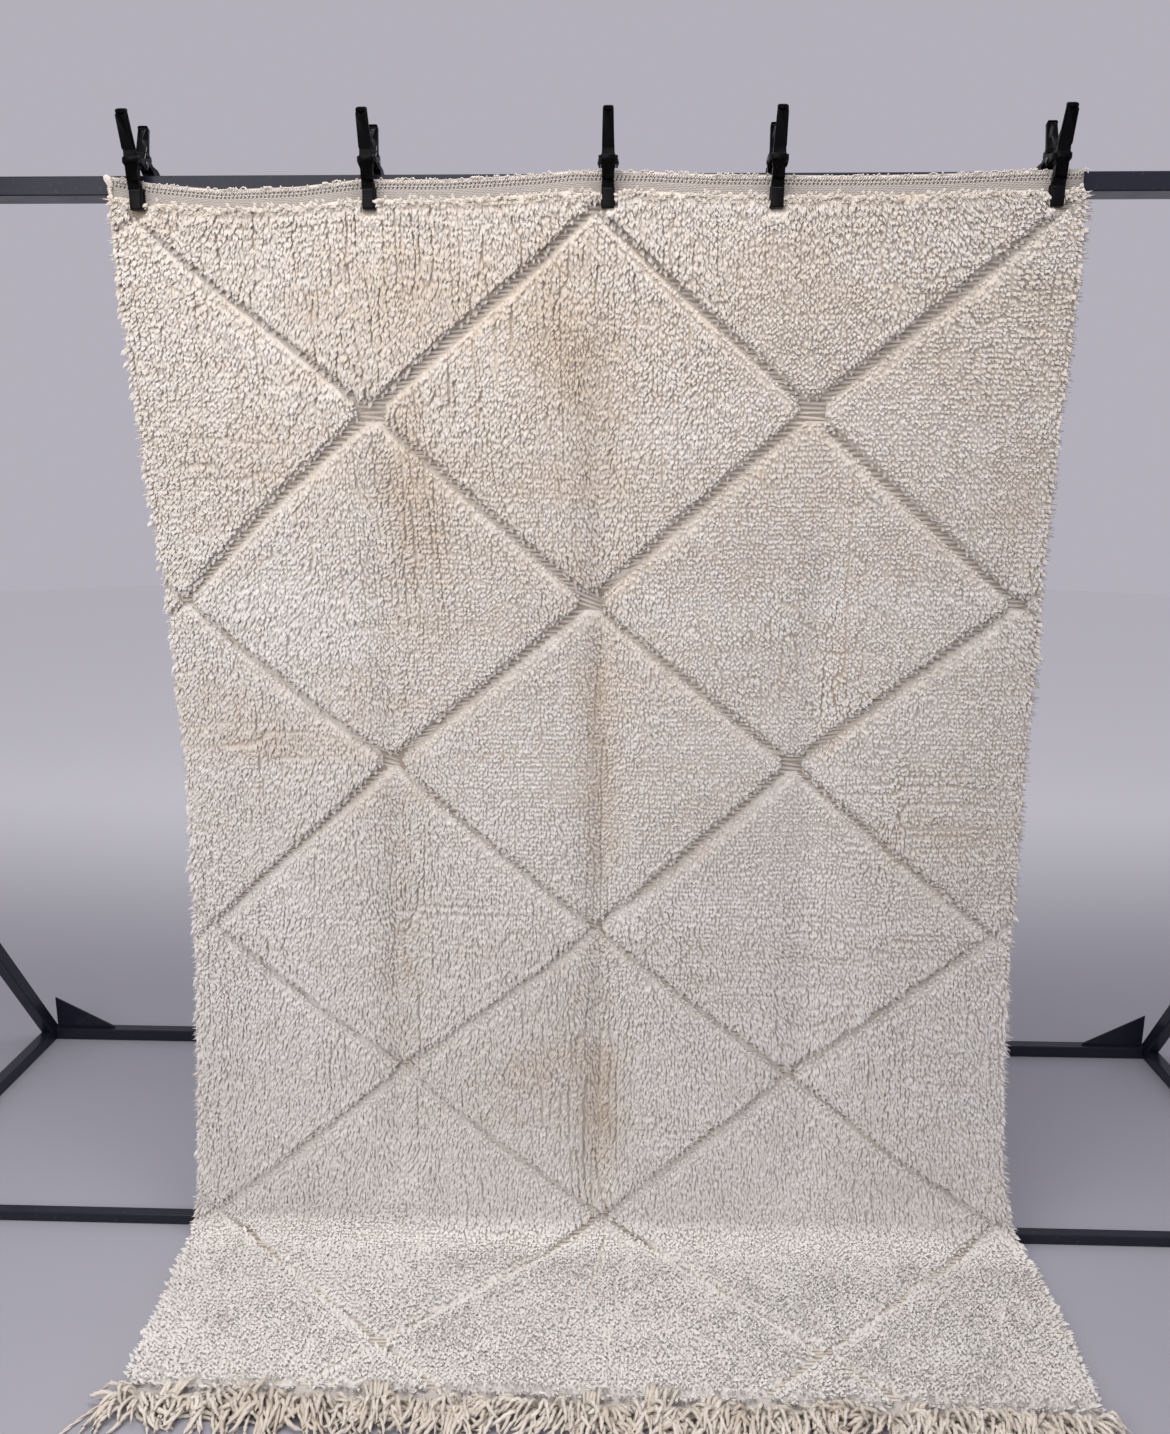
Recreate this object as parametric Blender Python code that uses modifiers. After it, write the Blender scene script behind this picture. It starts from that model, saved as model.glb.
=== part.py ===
"""A hand-knotted wool rug with a diamond lattice, clamped to a steel hanging stand.

Metres, +Z up. The origin is on the floor, under the middle of the front floor rail.
+X runs along the rails, to the right as the pile is seen, and +Y goes to the back.
The rug hangs against the front of the top rail, bends on the floor and lies forward.
"""
import math
import random

import bmesh
import bpy
from mathutils import Matrix, Vector, noise

# Sizes ----------------------------------------------------------------------------
GAP = 0.0003                 # between pieces that touch

# The stand: square and flat steel tube.
INNER_HALF_WIDTH = 1.440     # from the middle to the inner face of a side bar
SIDE_TUBE = 0.030            # side bars, braces and back floor rail
FRONT_TUBE = 0.022           # front floor rail
RAIL_DEPTH = 0.060           # top rail and posts are 60 x 30 tube
RAIL_HEIGHT = 0.030
RAIL_TOP = 1.9686
BACK_RAIL_FRONT = 0.730      # front face of the back floor rail
BRACE_SLOPE = 1.5            # rise of a brace for each metre that it comes forward
BRACE_FOOT = (0.711, 0.749)  # where a brace's two edges meet the side bar's top
GUSSET_THICKNESS = 0.004
GUSSET_REACH = 0.155
GUSSET_HEIGHT = 0.085
TUBE_ROUNDING = 0.0015

# The rug: its flat size, and the way it hangs.
RUG_WIDTH = 1.62
HANG_TOP = 1.968
HANG_BACK = -0.032           # the cloth's back, 2 mm in front of the top rail
BEND_RADIUS = 0.075
BAND = 0.005                 # flat-woven ends
HEM = 0.0065                 # braided top edge
HEM_DEPTH = 0.010
PILE = 0.022
GROOVE = 0.008               # rug left at the bottom of a lattice line
GROOVE_HALF = 0.016          # half the width of a lattice line
PILE_LUMP = 0.0022
RIM_WAVE = 0.004

# Stretches of the rug's length, each cut into a number of equal rows.
ROW_SPANS = (                # from, to, rows
    (0.000, 0.010, 1),       # hem
    (0.010, 0.030, 1),       # woven band
    (0.030, 0.042, 1),       # the pile rises
    (0.042, 0.058, 1),       # pile under the clamps' pads
    (0.058, 0.082, 1),
    (0.082, 1.860, 16),      # the hang
    (1.860, 2.034, 7),       # the bend
    (2.034, 2.314, 3),       # the stretch on the floor
    (2.314, 2.328, 1),       # the pile falls
    (2.328, 2.356, 1),       # woven band
)
RUG_LENGTH = ROW_SPANS[-1][1]
BAND_TOP_END = 0.030
PILE_START = 0.042
PILE_END = 2.314
BAND_START = 2.328

# Stretches of the rug's width, closer together at the creases.
COLUMN_SPANS = (             # from, to, columns
    (0.000, 0.014, 1),
    (0.014, 0.350, 3),
    (0.350, 0.480, 4),
    (0.480, 0.760, 2),
    (0.760, 0.880, 4),
    (0.880, 1.160, 2),
    (1.160, 1.270, 2),
    (1.270, 1.606, 3),
    (1.606, 1.620, 1),
)

# Both side edges as they hang: narrower at half height, wider on the floor.
EDGES = (                    # distance from the top, left edge x, right edge x
    (0.00, -0.777, 0.795),
    (0.17, -0.771, 0.796),
    (0.49, -0.747, 0.783),
    (0.70, -0.728, 0.781),
    (0.97, -0.717, 0.778),
    (1.26, -0.722, 0.779),
    (1.56, -0.736, 0.789),
    (1.77, -0.751, 0.806),
    (1.90, -0.762, 0.832),
    (2.00, -0.770, 0.862),
    (2.20, -0.757, 0.862),
    (2.36, -0.745, 0.855),
)

# The top edge sags between the clamps and stands a little over them.
TOP_SAG = (                  # x, drop of the edge
    (-0.777, 0.002),
    (-0.700, 0.014),
    (-0.595, 0.023),
    (-0.467, 0.019),
    (-0.367, 0.008),
    (-0.226, 0.009),
    (-0.081, 0.002),
    (-0.017, -0.004),
    (0.096, -0.002),
    (0.200, 0.003),
    (0.433, 0.006),
    (0.578, 0.004),
    (0.690, 0.000),
    (0.795, -0.002),
)
SAG_REACH = 0.30             # the sag has gone this far down

# Long soft creases from the way the rug was folded away.
CREASES = (                  # place across, start, end, depth, half width
    (0.415, 0.26, 2.30, 0.014, 0.034),
    (0.818, 0.06, 2.30, 0.013, 0.032),
    (1.215, 0.50, 1.90, 0.005, 0.036),
)
PANEL_SWELL = 0.007          # the rug bellies forward between two creases

# The lattice: rows where its lines cross, half a diamond apart.
CROSSINGS = (                # distance from the top, shift of the row to the right
    (0.055, 0.000),
    (0.370, -0.012),
    (0.690, -0.021),
    (0.979, -0.024),
    (1.295, -0.011),
    (1.581, -0.008),
    (1.895, 0.000),
    (2.226, -0.018),
)
FIRST_CROSSING = 0.040       # of the first row, from the left edge
HALF_DIAMOND = 0.3875        # half a diamond's width
HALF_DIAMOND_HEIGHT = 0.310

# Rim locks and fringe.
LOCK_LENGTH = (0.008, 0.020)
FRINGE_STRANDS = 112
FRINGE_HEADING = (0.012, 0.005)   # depth and height of the strip that holds it
STRAND_WIDTH = 0.0070
STRAND_HEIGHT = 0.0060
STRAND_LENGTH = 0.088

# Clamps: five alike, with the jaws round the top rail and the rug.
CLAMP_X = (-0.731, -0.350, 0.037, 0.308, 0.751)
PIN_Y = -0.034
PIN_Z = 1.984
PIN_RADIUS = 0.003
PIN_HEAD = 0.005
PAD_THICKNESS = 0.005
PAD_WIDTH = 0.022
PAD_BOTTOM = 1.913
PAD_TOP = 1.946
HANDLE_HALF_WIDTH = 0.0085
JAW_HALF_WIDTH = 0.0105
EAR_THICKNESS = 0.0030
FRONT_EAR = 0.0125           # inner face of the front arm's ears
BACK_EAR = 0.0089            # inner face of the back arm's ears
EAR_RADIUS = 0.0085
RUG_AT_PAD = BAND            # the pads press the pile down to this
HANG_HOLE = 0.0018

FRONT_ARM = (                # y, z and half thickness, from the handle to the jaw
    (-0.0835, 2.0540, 0.0045),
    (-0.0812, 2.0480, 0.0060),
    (-0.0610, 2.0000, 0.0060),
    (-0.0545, 1.9800, 0.0070),
    (-0.0520, 1.9560, 0.0065),
    (-0.0486, 1.9420, 0.0060),
    (-0.0486, 1.9110, 0.0060),
)
BACK_ARM = (
    (0.0035, 2.0500, 0.0045),
    (0.0010, 2.0440, 0.0060),
    (-0.0110, 2.0080, 0.0060),
    (-0.0060, 1.9930, 0.0055),
    (0.0080, 1.9845, 0.0058),
    (0.0240, 1.9825, 0.0060),
    (0.0410, 1.9730, 0.0060),
    (0.0450, 1.9590, 0.0060),
    (0.0416, 1.9440, 0.0060),
    (0.0416, 1.9110, 0.0060),
)
SHOULDER_AT = 2              # row above each arm's wide shoulder
SHOULDER_EXTRA = 0.0008      # the shoulder stands this proud of handle and jaw

# Colours, as linear red, green and blue.
WOOL = (0.76, 0.71, 0.62)
FRINGE_YARN = (0.62, 0.54, 0.42)
BLACK_PAINT = (0.012, 0.012, 0.014)
BLACK_NYLON = (0.010, 0.010, 0.010)
BLACK_RUBBER = (0.015, 0.015, 0.015)
STEEL = (0.30, 0.30, 0.31)


# Scene helpers --------------------------------------------------------------------
def clear_objects():
    """Remove whatever objects the file starts with."""
    for ob in list(bpy.data.objects):
        bpy.data.objects.remove(ob, do_unlink=True)


def new_collection(name):
    """Add a collection to the scene."""
    collection = bpy.data.collections.new(name)
    bpy.context.scene.collection.children.link(collection)
    return collection


def make_material(name, colour, roughness, metallic=0.0):
    """A plain surface finish."""
    material = bpy.data.materials.new(name)
    material.use_nodes = True
    shader = material.node_tree.nodes["Principled BSDF"]
    shader.inputs["Base Color"].default_value = (*colour, 1.0)
    shader.inputs["Roughness"].default_value = roughness
    shader.inputs["Metallic"].default_value = metallic
    return material


def add_object(name, mesh, material, collection, place=(0.0, 0.0, 0.0)):
    """Put a mesh in the scene as one named piece."""
    ob = bpy.data.objects.new(name, mesh)
    ob.location = place
    if not mesh.materials:
        mesh.materials.append(material)
    collection.objects.link(ob)
    return ob


def mesh_from(bm, name):
    """Turn a finished bmesh into a mesh."""
    mesh = bpy.data.meshes.new(name)
    bm.to_mesh(mesh)
    bm.free()
    return mesh


def steps(spans):
    """The borders of a table of stretches, in order."""
    places = [spans[0][0]]
    for start, end, count in spans:
        for k in range(1, count + 1):
            places.append(start + (end - start) * k / count)
    return places


def table_value(table, column, place):
    """Read a column of a table between its rows, held at its end rows."""
    place = min(max(place, table[0][0]), table[-1][0])
    k = 0
    while k < len(table) - 2 and place > table[k + 1][0]:
        k += 1
    low, high = table[k], table[k + 1]
    part = (place - low[0]) / (high[0] - low[0])
    return low[column] + (high[column] - low[column]) * part


def ramp(start, end, place):
    """A smooth 0 to 1 between two places."""
    part = min(max((place - start) / (end - start), 0.0), 1.0)
    return part * part * (3.0 - 2.0 * part)


# The rug --------------------------------------------------------------------------
def lattice_row(s):
    """Distance down the rug, counted in crossing rows."""
    k = 0
    while k < len(CROSSINGS) - 2 and s > CROSSINGS[k + 1][0]:
        k += 1
    start, end = CROSSINGS[k][0], CROSSINGS[k + 1][0]
    return k + (s - start) / (end - start)


def down_from_row(q):
    """Distance down the rug of a place counted in crossing rows."""
    k = min(max(int(math.floor(q)), 0), len(CROSSINGS) - 2)
    start, end = CROSSINGS[k][0], CROSSINGS[k + 1][0]
    return start + (end - start) * (q - k)


def lattice_column(u):
    """Distance across the rug, counted in half diamonds from the first crossing."""
    return (u - FIRST_CROSSING) / HALF_DIAMOND


def across_from_column(p, q):
    """Distance across the rug; the crossing rows are a little shifted inside the rims."""
    u = FIRST_CROSSING + HALF_DIAMOND * p
    k = min(max(q, 0.0), len(CROSSINGS) - 1.0)
    low = min(int(k), len(CROSSINGS) - 2)
    shift = CROSSINGS[low][1] + (CROSSINGS[low + 1][1] - CROSSINGS[low][1]) * (k - low)
    from_middle = min(abs(2.0 * u / RUG_WIDTH - 1.0), 1.0)
    return u + shift * (1.0 - from_middle ** 8)


def lattice_distance(p, q):
    """How far a place is from the nearest lattice line, in metres."""
    rising = abs((p + q + 1.0) % 2.0 - 1.0)
    falling = abs((p - q + 1.0) % 2.0 - 1.0)
    diagonal = math.hypot(HALF_DIAMOND, HALF_DIAMOND_HEIGHT)
    return min(rising, falling) * HALF_DIAMOND * HALF_DIAMOND_HEIGHT / diagonal


def hang_path(s):
    """Place of the cloth's back s metres down, and the way its pile points, in y and z."""
    straight = HANG_TOP - BEND_RADIUS
    arc = BEND_RADIUS * math.pi / 2.0
    if s <= straight:
        return (HANG_BACK, HANG_TOP - s), (-1.0, 0.0)
    if s <= straight + arc:
        turn = (s - straight) / BEND_RADIUS
        y = HANG_BACK - BEND_RADIUS * (1.0 - math.cos(turn))
        z = BEND_RADIUS * (1.0 - math.sin(turn))
        return (y, z), (-math.cos(turn), math.sin(turn))
    return (HANG_BACK - BEND_RADIUS - (s - straight - arc), 0.0), (0.0, 1.0)


def rug_x(u, s):
    """Sideways place of a point of the rug."""
    left = table_value(EDGES, 1, s)
    right = table_value(EDGES, 2, s)
    return left + (right - left) * u / RUG_WIDTH


def crease(u, s):
    """Depth of the creases at a place."""
    depth = 0.0
    for across, start, end, deep, half in CREASES:
        fade = ramp(start, start + 0.25, s) * (1.0 - ramp(end - 0.1, end, s))
        depth += deep * fade * math.exp(-((u - across) / half) ** 2)
    return depth


def fold(u, s):
    """How far the hanging rug lies forward of its plane."""
    hanging = ramp(0.10, 0.55, s) * (1.0 - ramp(1.72, 1.90, s))
    panels = abs(math.sin(math.pi * (u - CREASES[0][0]) / (CREASES[1][0] - CREASES[0][0])))
    sway = 0.003 * noise.noise(Vector((u * 2.0, s * 1.5, 4.0)))
    return hanging * (PANEL_SWELL * panels - crease(u, s) + sway)


def clamp_press(x, s):
    """1 where a clamp's pad presses the rug flat, 0 away from it."""
    press = 0.0
    half = PAD_WIDTH / 2.0
    for clamp_x in CLAMP_X:
        beside = 1.0 - ramp(half + 0.004, half + 0.016, abs(x - clamp_x))
        below = 1.0 - ramp(0.0585, 0.080, s)
        press = max(press, beside * below)
    return press


def thickness(p, q):
    """Thickness of the rug: woven bands, pile, lattice grooves and pressed spots."""
    s = down_from_row(q)
    u = across_from_column(p, q)
    if s < HEM_DEPTH / 2.0 and clamp_press(rug_x(u, s), s) < 0.01:
        return HEM
    rise = ramp(BAND_TOP_END, PILE_START, s) * (1.0 - ramp(PILE_END, BAND_START, s))
    groove = 1.0 - min(lattice_distance(p, q) / GROOVE_HALF, 1.0)
    lumps = PILE_LUMP * noise.noise(Vector((u * 11.0, s * 11.0, 0.0)))
    lumps += PILE_LUMP * noise.noise(Vector((u * 23.0, s * 29.0, 7.0)))
    on_floor = ramp(1.80, 1.95, s)
    pile = PILE + lumps - 0.5 * on_floor * crease(u, s)
    pile += (GROOVE - pile) * groove
    rim = 1.0 - 0.22 * ramp(RUG_WIDTH / 2.0 - 0.012, RUG_WIDTH / 2.0, abs(u - RUG_WIDTH / 2.0))
    pile *= rim
    raised = rise * (1.0 - clamp_press(rug_x(u, s), s))
    return BAND + (pile - BAND) * raised


def rug_point(p, q, level):
    """Place of a point of the rug; level 0 is its back and 1 the tips of its pile."""
    s = down_from_row(q)
    u = across_from_column(p, q)
    inside = min(max(p, lattice_column(0.0)), lattice_column(RUG_WIDTH))
    x = rug_x(u, s)
    x += RIM_WAVE * noise.noise(Vector((s * 9.0, 3.0, 1.0))) * abs(2.0 * u / RUG_WIDTH - 1.0) ** 6
    (y, z), (pile_y, pile_z) = hang_path(s)
    out = level * thickness(inside, q) + fold(u, s)
    sag = table_value(TOP_SAG, 1, x) * (1.0 - ramp(0.0, SAG_REACH, s))
    return Vector((x, y + pile_y * out, z + pile_z * out - sag))


def cut_lines(bm, faces, lines):
    """Cut the given faces along straight lines of the flat rug; returns the new faces."""
    for point, across in lines:
        edges = {edge for face in faces for edge in face.edges}
        verts = {vert for face in faces for vert in face.verts}
        found = bmesh.ops.bisect_plane(
            bm, geom=list(faces) + list(edges) + list(verts), dist=0.006,
            plane_co=point, plane_no=across)
        faces = [item for item in found["geom"] if isinstance(item, bmesh.types.BMFace)]
    return faces


def lattice_lines():
    """Both edges and the middle of each lattice line, as lines of the flat rug."""
    p_start, p_end = lattice_column(0.0), lattice_column(RUG_WIDTH)
    q_start, q_end = lattice_row(0.0), lattice_row(RUG_LENGTH)
    diagonal = math.hypot(HALF_DIAMOND, HALF_DIAMOND_HEIGHT)
    half = GROOVE_HALF * diagonal / (HALF_DIAMOND * HALF_DIAMOND_HEIGHT)
    lines = []
    for slant, low, high in ((1, p_start + q_start, p_end + q_end),
                             (-1, p_start - q_end, p_end - q_start)):
        for k in range(math.ceil(low / 2.0), math.floor(high / 2.0) + 1):
            for offset in (-half, 0.0, half):
                lines.append((Vector((2.0 * k + offset, 0.0, 0.0)), Vector((1.0, slant, 0.0))))
    return lines


def pad_lines():
    """Both sides of each clamp's pressed spot, as lines of the flat rug."""
    left, right = EDGES[0][1], EDGES[0][2]
    lines = []
    for clamp_x in CLAMP_X:
        for offset in (-0.027, -0.0145, 0.0145, 0.027):
            u = (clamp_x + offset - left) / (right - left) * RUG_WIDTH
            if 0.004 < u < RUG_WIDTH - 0.004:
                lines.append((Vector((lattice_column(u), 0.0, 0.0)), Vector((1.0, 0.0, 0.0))))
    return lines


def grow(bm, face, rings):
    """Draw a face out through rings of corners, and return the last face."""
    for ring in rings:
        face = bmesh.ops.extrude_discrete_faces(bm, faces=[face])["faces"][0]
        for vert, corner in zip(face.verts, ring):
            vert.co = corner
    return face


def grow_rim_locks(bm, rng):
    """Draw a short lock of pile out of the side edges wherever a whole face is free."""
    middle = (lattice_column(0.0) + lattice_column(RUG_WIDTH)) / 2.0
    reach = lattice_column(RUG_WIDTH) - middle - 1e-4
    first = lattice_row(0.09)
    last = lattice_row(PILE_END - 0.01)
    walls = [face for face in bm.faces
             if len(face.verts) == 4 and all(abs(v.co.x - middle) > reach for v in face.verts)
             and first < face.calc_center_median().y < last]
    walls.sort(key=lambda face: (face.calc_center_median().x, face.calc_center_median().y))
    for face in walls:
        centre = face.calc_center_median()
        side = 1.0 if centre.x > middle else -1.0
        length = rng.uniform(*LOCK_LENGTH) / HALF_DIAMOND
        droop = rng.uniform(-0.004, 0.012) / HALF_DIAMOND_HEIGHT
        tip = Vector((centre.x + side * length, centre.y + droop, rng.uniform(0.40, 0.62)))
        ring = [tip + (vert.co - centre) * 0.30 for vert in face.verts]
        grow(bm, face, [ring])


def make_rug(material, collection):
    """The whole rug: one lumpy slab with its grooves, creases and rim locks."""
    rows = [lattice_row(s) for s in steps(ROW_SPANS)]
    columns = [lattice_column(u) for u in steps(COLUMN_SPANS)]
    bm = bmesh.new()
    bmesh.ops.create_grid(bm, x_segments=len(columns) - 1, y_segments=len(rows) - 1, size=1.0)
    for vert in bm.verts:
        column = round((vert.co.x + 1.0) / 2.0 * (len(columns) - 1))
        row = round((vert.co.y + 1.0) / 2.0 * (len(rows) - 1))
        vert.co = Vector((columns[column], rows[row], 0.0))
    raised = bmesh.ops.extrude_face_region(bm, geom=bm.faces[:])["geom"]
    top = [item for item in raised if isinstance(item, bmesh.types.BMFace)]
    for vert in {vert for face in top for vert in face.verts}:
        vert.co.z = 1.0
    long_rim = []
    for edge in bm.edges:
        level = len({round(vert.co.z) for vert in edge.verts}) == 1
        at_side = any(all(abs(vert.co.x - side) < 1e-6 for vert in edge.verts)
                      for side in (columns[0], columns[-1]))
        if level and at_side and edge.calc_length() * HALF_DIAMOND_HEIGHT > 0.06:
            long_rim.append(edge)
    bmesh.ops.subdivide_edges(bm, edges=long_rim, cuts=2, use_grid_fill=True)
    bmesh.ops.recalc_face_normals(bm, faces=bm.faces[:])
    top = [face for face in bm.faces if all(vert.co.z > 0.5 for vert in face.verts)]
    top = cut_lines(bm, top, lattice_lines())
    near_top = [face for face in top if face.calc_center_median().y < lattice_row(0.082)]
    cut_lines(bm, near_top, pad_lines())
    grow_rim_locks(bm, random.Random(5))
    bmesh.ops.triangulate(bm, faces=bm.faces[:])
    for vert in bm.verts:
        vert.co = rug_point(*vert.co)
    bmesh.ops.recalc_face_normals(bm, faces=bm.faces[:])
    add_object("rug", mesh_from(bm, "rug"), material, collection)


# The fringe -----------------------------------------------------------------------
def strand_turn(part):
    """How far a strand leans to the right, for its place along the fringe from 0 to 1."""
    lean = 0.30 * noise.noise(Vector((part * 9.0, 0.5, 2.0)))
    return lean + 0.60 * ramp(0.90, 1.0, part) - 0.45 * ramp(0.08, 0.0, part)


def make_fringe(material, collection):
    """Warp ends on a narrow heading strip, lying level on the floor."""
    rng = random.Random(11)
    depth, height = FRINGE_HEADING
    (edge_y, _), _ = hang_path(RUG_LENGTH)
    start = edge_y - GAP
    left = table_value(EDGES, 1, RUG_LENGTH) + 0.002
    right = table_value(EDGES, 2, RUG_LENGTH) - 0.002
    pitch = (right - left) / FRINGE_STRANDS
    bm = bmesh.new()
    bmesh.ops.create_grid(bm, x_segments=FRINGE_STRANDS, y_segments=1, size=1.0)
    for vert in bm.verts:
        across = (vert.co.x + 1.0) / 2.0
        along = (vert.co.y + 1.0) / 2.0
        vert.co = Vector((left + (right - left) * across, start - depth * along, 0.0))
    raised = bmesh.ops.extrude_face_region(bm, geom=bm.faces[:])["geom"]
    for vert in [item for item in raised if isinstance(item, bmesh.types.BMVert)]:
        vert.co.z = height
    bmesh.ops.recalc_face_normals(bm, faces=bm.faces[:])
    front = [face for face in bm.faces
             if all(vert.co.y < start - depth + 1e-5 for vert in face.verts)]
    front.sort(key=lambda face: face.calc_center_median().x)
    for k, face in enumerate(front):
        lean = strand_turn((k + 0.5) / FRINGE_STRANDS)
        length = STRAND_LENGTH * rng.uniform(0.80, 1.12)
        x = left + pitch * (k + 0.5)
        y = start - depth
        rings = []
        for part, width in ((0.04, 1.0), (0.60, 1.05), (1.0, 0.60)):
            turn = lean * (0.3 + part) + rng.uniform(-0.03, 0.03)
            centre = Vector((x + math.sin(turn) * length * part,
                             y - math.cos(turn) * length * part, 0.0))
            side = Vector((math.cos(turn), math.sin(turn), 0.0)) * STRAND_WIDTH * width / 2.0
            ring = []
            for vert in face.verts:
                right_hand = 1.0 if vert.co.x > x else -1.0
                up = STRAND_HEIGHT * (0.7 + 0.3 * width) if vert.co.z > height / 2.0 else 0.0
                ring.append(centre + side * right_hand + Vector((0.0, 0.0, up)))
            rings.append(ring)
        grow(bm, face, rings)
    add_object("fringe", mesh_from(bm, "fringe"), material, collection)


# The stand ------------------------------------------------------------------------
def make_tube(name, low, high, material, collection):
    """A straight steel tube with softened edges, from its lowest to its highest corner."""
    low, high = Vector(low), Vector(high)
    bm = bmesh.new()
    bmesh.ops.create_cube(bm, size=1.0)
    bmesh.ops.scale(bm, vec=high - low, verts=bm.verts[:])
    ob = add_object(name, mesh_from(bm, name), material, collection, (low + high) / 2.0)
    soften(ob, TUBE_ROUNDING)
    return ob


def soften(ob, width):
    """Round a piece's edges a little."""
    bevel = ob.modifiers.new("Softened edges", "BEVEL")
    bevel.width = width
    bevel.segments = 1
    bevel.limit_method = "ANGLE"


def flat_piece(name, outline, thickness_x, centre_x, material, collection):
    """A plate or arm from its outline in y and z, as thick as given along x."""
    curve = bpy.data.curves.new(name, "CURVE")
    curve.dimensions = "2D"
    curve.fill_mode = "BOTH"
    curve.extrude = thickness_x / 2.0
    spline = curve.splines.new("POLY")
    spline.points.add(len(outline) - 1)
    spline.use_cyclic_u = True
    for point, (y, z) in zip(spline.points, outline):
        point.co = (y, z, 0.0, 1.0)
    ob = bpy.data.objects.new(name, curve)
    stand_up = Matrix(((0.0, 0.0, 1.0), (1.0, 0.0, 0.0), (0.0, 1.0, 0.0))).to_4x4()
    ob.matrix_world = Matrix.Translation((centre_x, 0.0, 0.0)) @ stand_up
    collection.objects.link(ob)
    return curve_to_mesh(ob, material, collection)


def curve_to_mesh(ob, material, collection):
    """Swap a filled curve for its closed mesh, in place."""
    name = ob.name
    bpy.context.view_layer.update()
    mesh = bpy.data.meshes.new_from_object(ob.evaluated_get(bpy.context.evaluated_depsgraph_get()))
    place = ob.matrix_world.copy()
    bpy.data.objects.remove(ob, do_unlink=True)
    bm = bmesh.new()
    bm.from_mesh(mesh)
    bmesh.ops.remove_doubles(bm, verts=bm.verts[:], dist=1e-6)
    bm.transform(place)
    bmesh.ops.recalc_face_normals(bm, faces=bm.faces[:])
    if bm.calc_volume(signed=True) < 0.0:
        bmesh.ops.reverse_faces(bm, faces=bm.faces[:])
    bpy.data.meshes.remove(mesh)
    return add_object(name, mesh_from(bm, name), material, collection)


def make_stand(material, collection):
    """Top rail, posts, floor rails, side bars, braces and corner gussets."""
    outer = INNER_HALF_WIDTH + SIDE_TUBE
    half_depth = RAIL_DEPTH / 2.0
    rail_bottom = RAIL_TOP - RAIL_HEIGHT
    inner = INNER_HALF_WIDTH - GAP
    back = BACK_RAIL_FRONT + SIDE_TUBE
    make_tube("top_rail", (-outer, -half_depth, rail_bottom), (outer, half_depth, RAIL_TOP),
              material, collection)
    make_tube("front_floor_rail", (-inner, -FRONT_TUBE / 2.0, 0.0),
              (inner, FRONT_TUBE / 2.0, FRONT_TUBE), material, collection)
    make_tube("back_floor_rail", (-inner, BACK_RAIL_FRONT, 0.0), (inner, back, SIDE_TUBE),
              material, collection)
    for side, sign in (("left", -1.0), ("right", 1.0)):
        near, far = sorted((sign * INNER_HALF_WIDTH, sign * outer))
        make_tube("side_bar_" + side, (near, -half_depth, 0.0), (far, back, SIDE_TUBE),
                  material, collection)
        make_tube("post_" + side, (near, -half_depth, SIDE_TUBE + GAP),
                  (far, half_depth, rail_bottom - GAP), material, collection)
        make_brace(side, (near + far) / 2.0, material, collection)
        make_gusset(side, sign, material, collection)


def make_brace(side, centre_x, material, collection):
    """A slanting tube from the back end of a side bar up to the post."""
    foot = SIDE_TUBE + GAP
    front_edge, back_edge = BRACE_FOOT
    post = RAIL_DEPTH / 2.0 + GAP
    outline = (
        (front_edge, foot),
        (back_edge, foot),
        (post, foot + BRACE_SLOPE * (back_edge - post)),
        (post, foot + BRACE_SLOPE * (front_edge - post)),
    )
    ob = flat_piece("brace_" + side, outline, SIDE_TUBE, centre_x, material, collection)
    soften(ob, TUBE_ROUNDING)


def make_gusset(side, sign, material, collection):
    """A corner plate that stands on the back floor rail, against the brace."""
    corner = INNER_HALF_WIDTH - GAP
    bottom = SIDE_TUBE + GAP
    middle = BACK_RAIL_FRONT + SIDE_TUBE / 2.0
    bm = bmesh.new()
    bmesh.ops.create_cube(bm, size=1.0)
    for vert in bm.verts:
        at_corner = vert.co.x > 0.0
        x = corner if at_corner else corner - GUSSET_REACH
        rise = GUSSET_HEIGHT if at_corner else 0.003
        z = bottom + rise if vert.co.z > 0.0 else bottom
        y = middle + math.copysign(GUSSET_THICKNESS / 2.0, vert.co.y)
        vert.co = Vector((sign * x, y, z))
    bmesh.ops.recalc_face_normals(bm, faces=bm.faces[:])
    add_object("gusset_" + side, mesh_from(bm, "gusset_" + side), material, collection)


# The clamps -----------------------------------------------------------------------
def arm_outline(spine):
    """Side view of an arm: its spine given its thickness on both sides."""
    points = [Vector(row[:2]) for row in spine]
    front, back = [], []
    for k, point in enumerate(points):
        before = points[max(k - 1, 0)]
        after = points[min(k + 1, len(points) - 1)]
        along = (after - before).normalized()
        across = Vector((along.y, -along.x)) * spine[k][2]
        front.append(tuple(point + across))
        back.append(tuple(point - across))
    return front + back[::-1]


def ear_outline(top, bottom, towards):
    """Side view of an ear: from two points of the arm to a round end on the pin."""
    arc = []
    for k in range(5):
        turn = math.radians(75.0 - 37.5 * k)
        arc.append((PIN_Y + towards * EAR_RADIUS * math.cos(turn),
                    PIN_Z + EAR_RADIUS * math.sin(turn)))
    return [top] + arc + [bottom]


def join_and_drill(base, additions, holes):
    """Fuse pieces to a base, then cut its holes; returns the finished mesh."""
    for other in additions:
        fuse = base.modifiers.new("Fuse", "BOOLEAN")
        fuse.operation = "UNION"
        fuse.solver = "EXACT"
        fuse.object = other
    for hole in holes:
        drill = base.modifiers.new("Drill", "BOOLEAN")
        drill.operation = "DIFFERENCE"
        drill.solver = "EXACT"
        drill.object = hole
    bpy.context.view_layer.update()
    graph = bpy.context.evaluated_depsgraph_get()
    mesh = bpy.data.meshes.new_from_object(base.evaluated_get(graph))
    for ob in [base] + additions + holes:
        bpy.data.objects.remove(ob, do_unlink=True)
    return mesh


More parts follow.
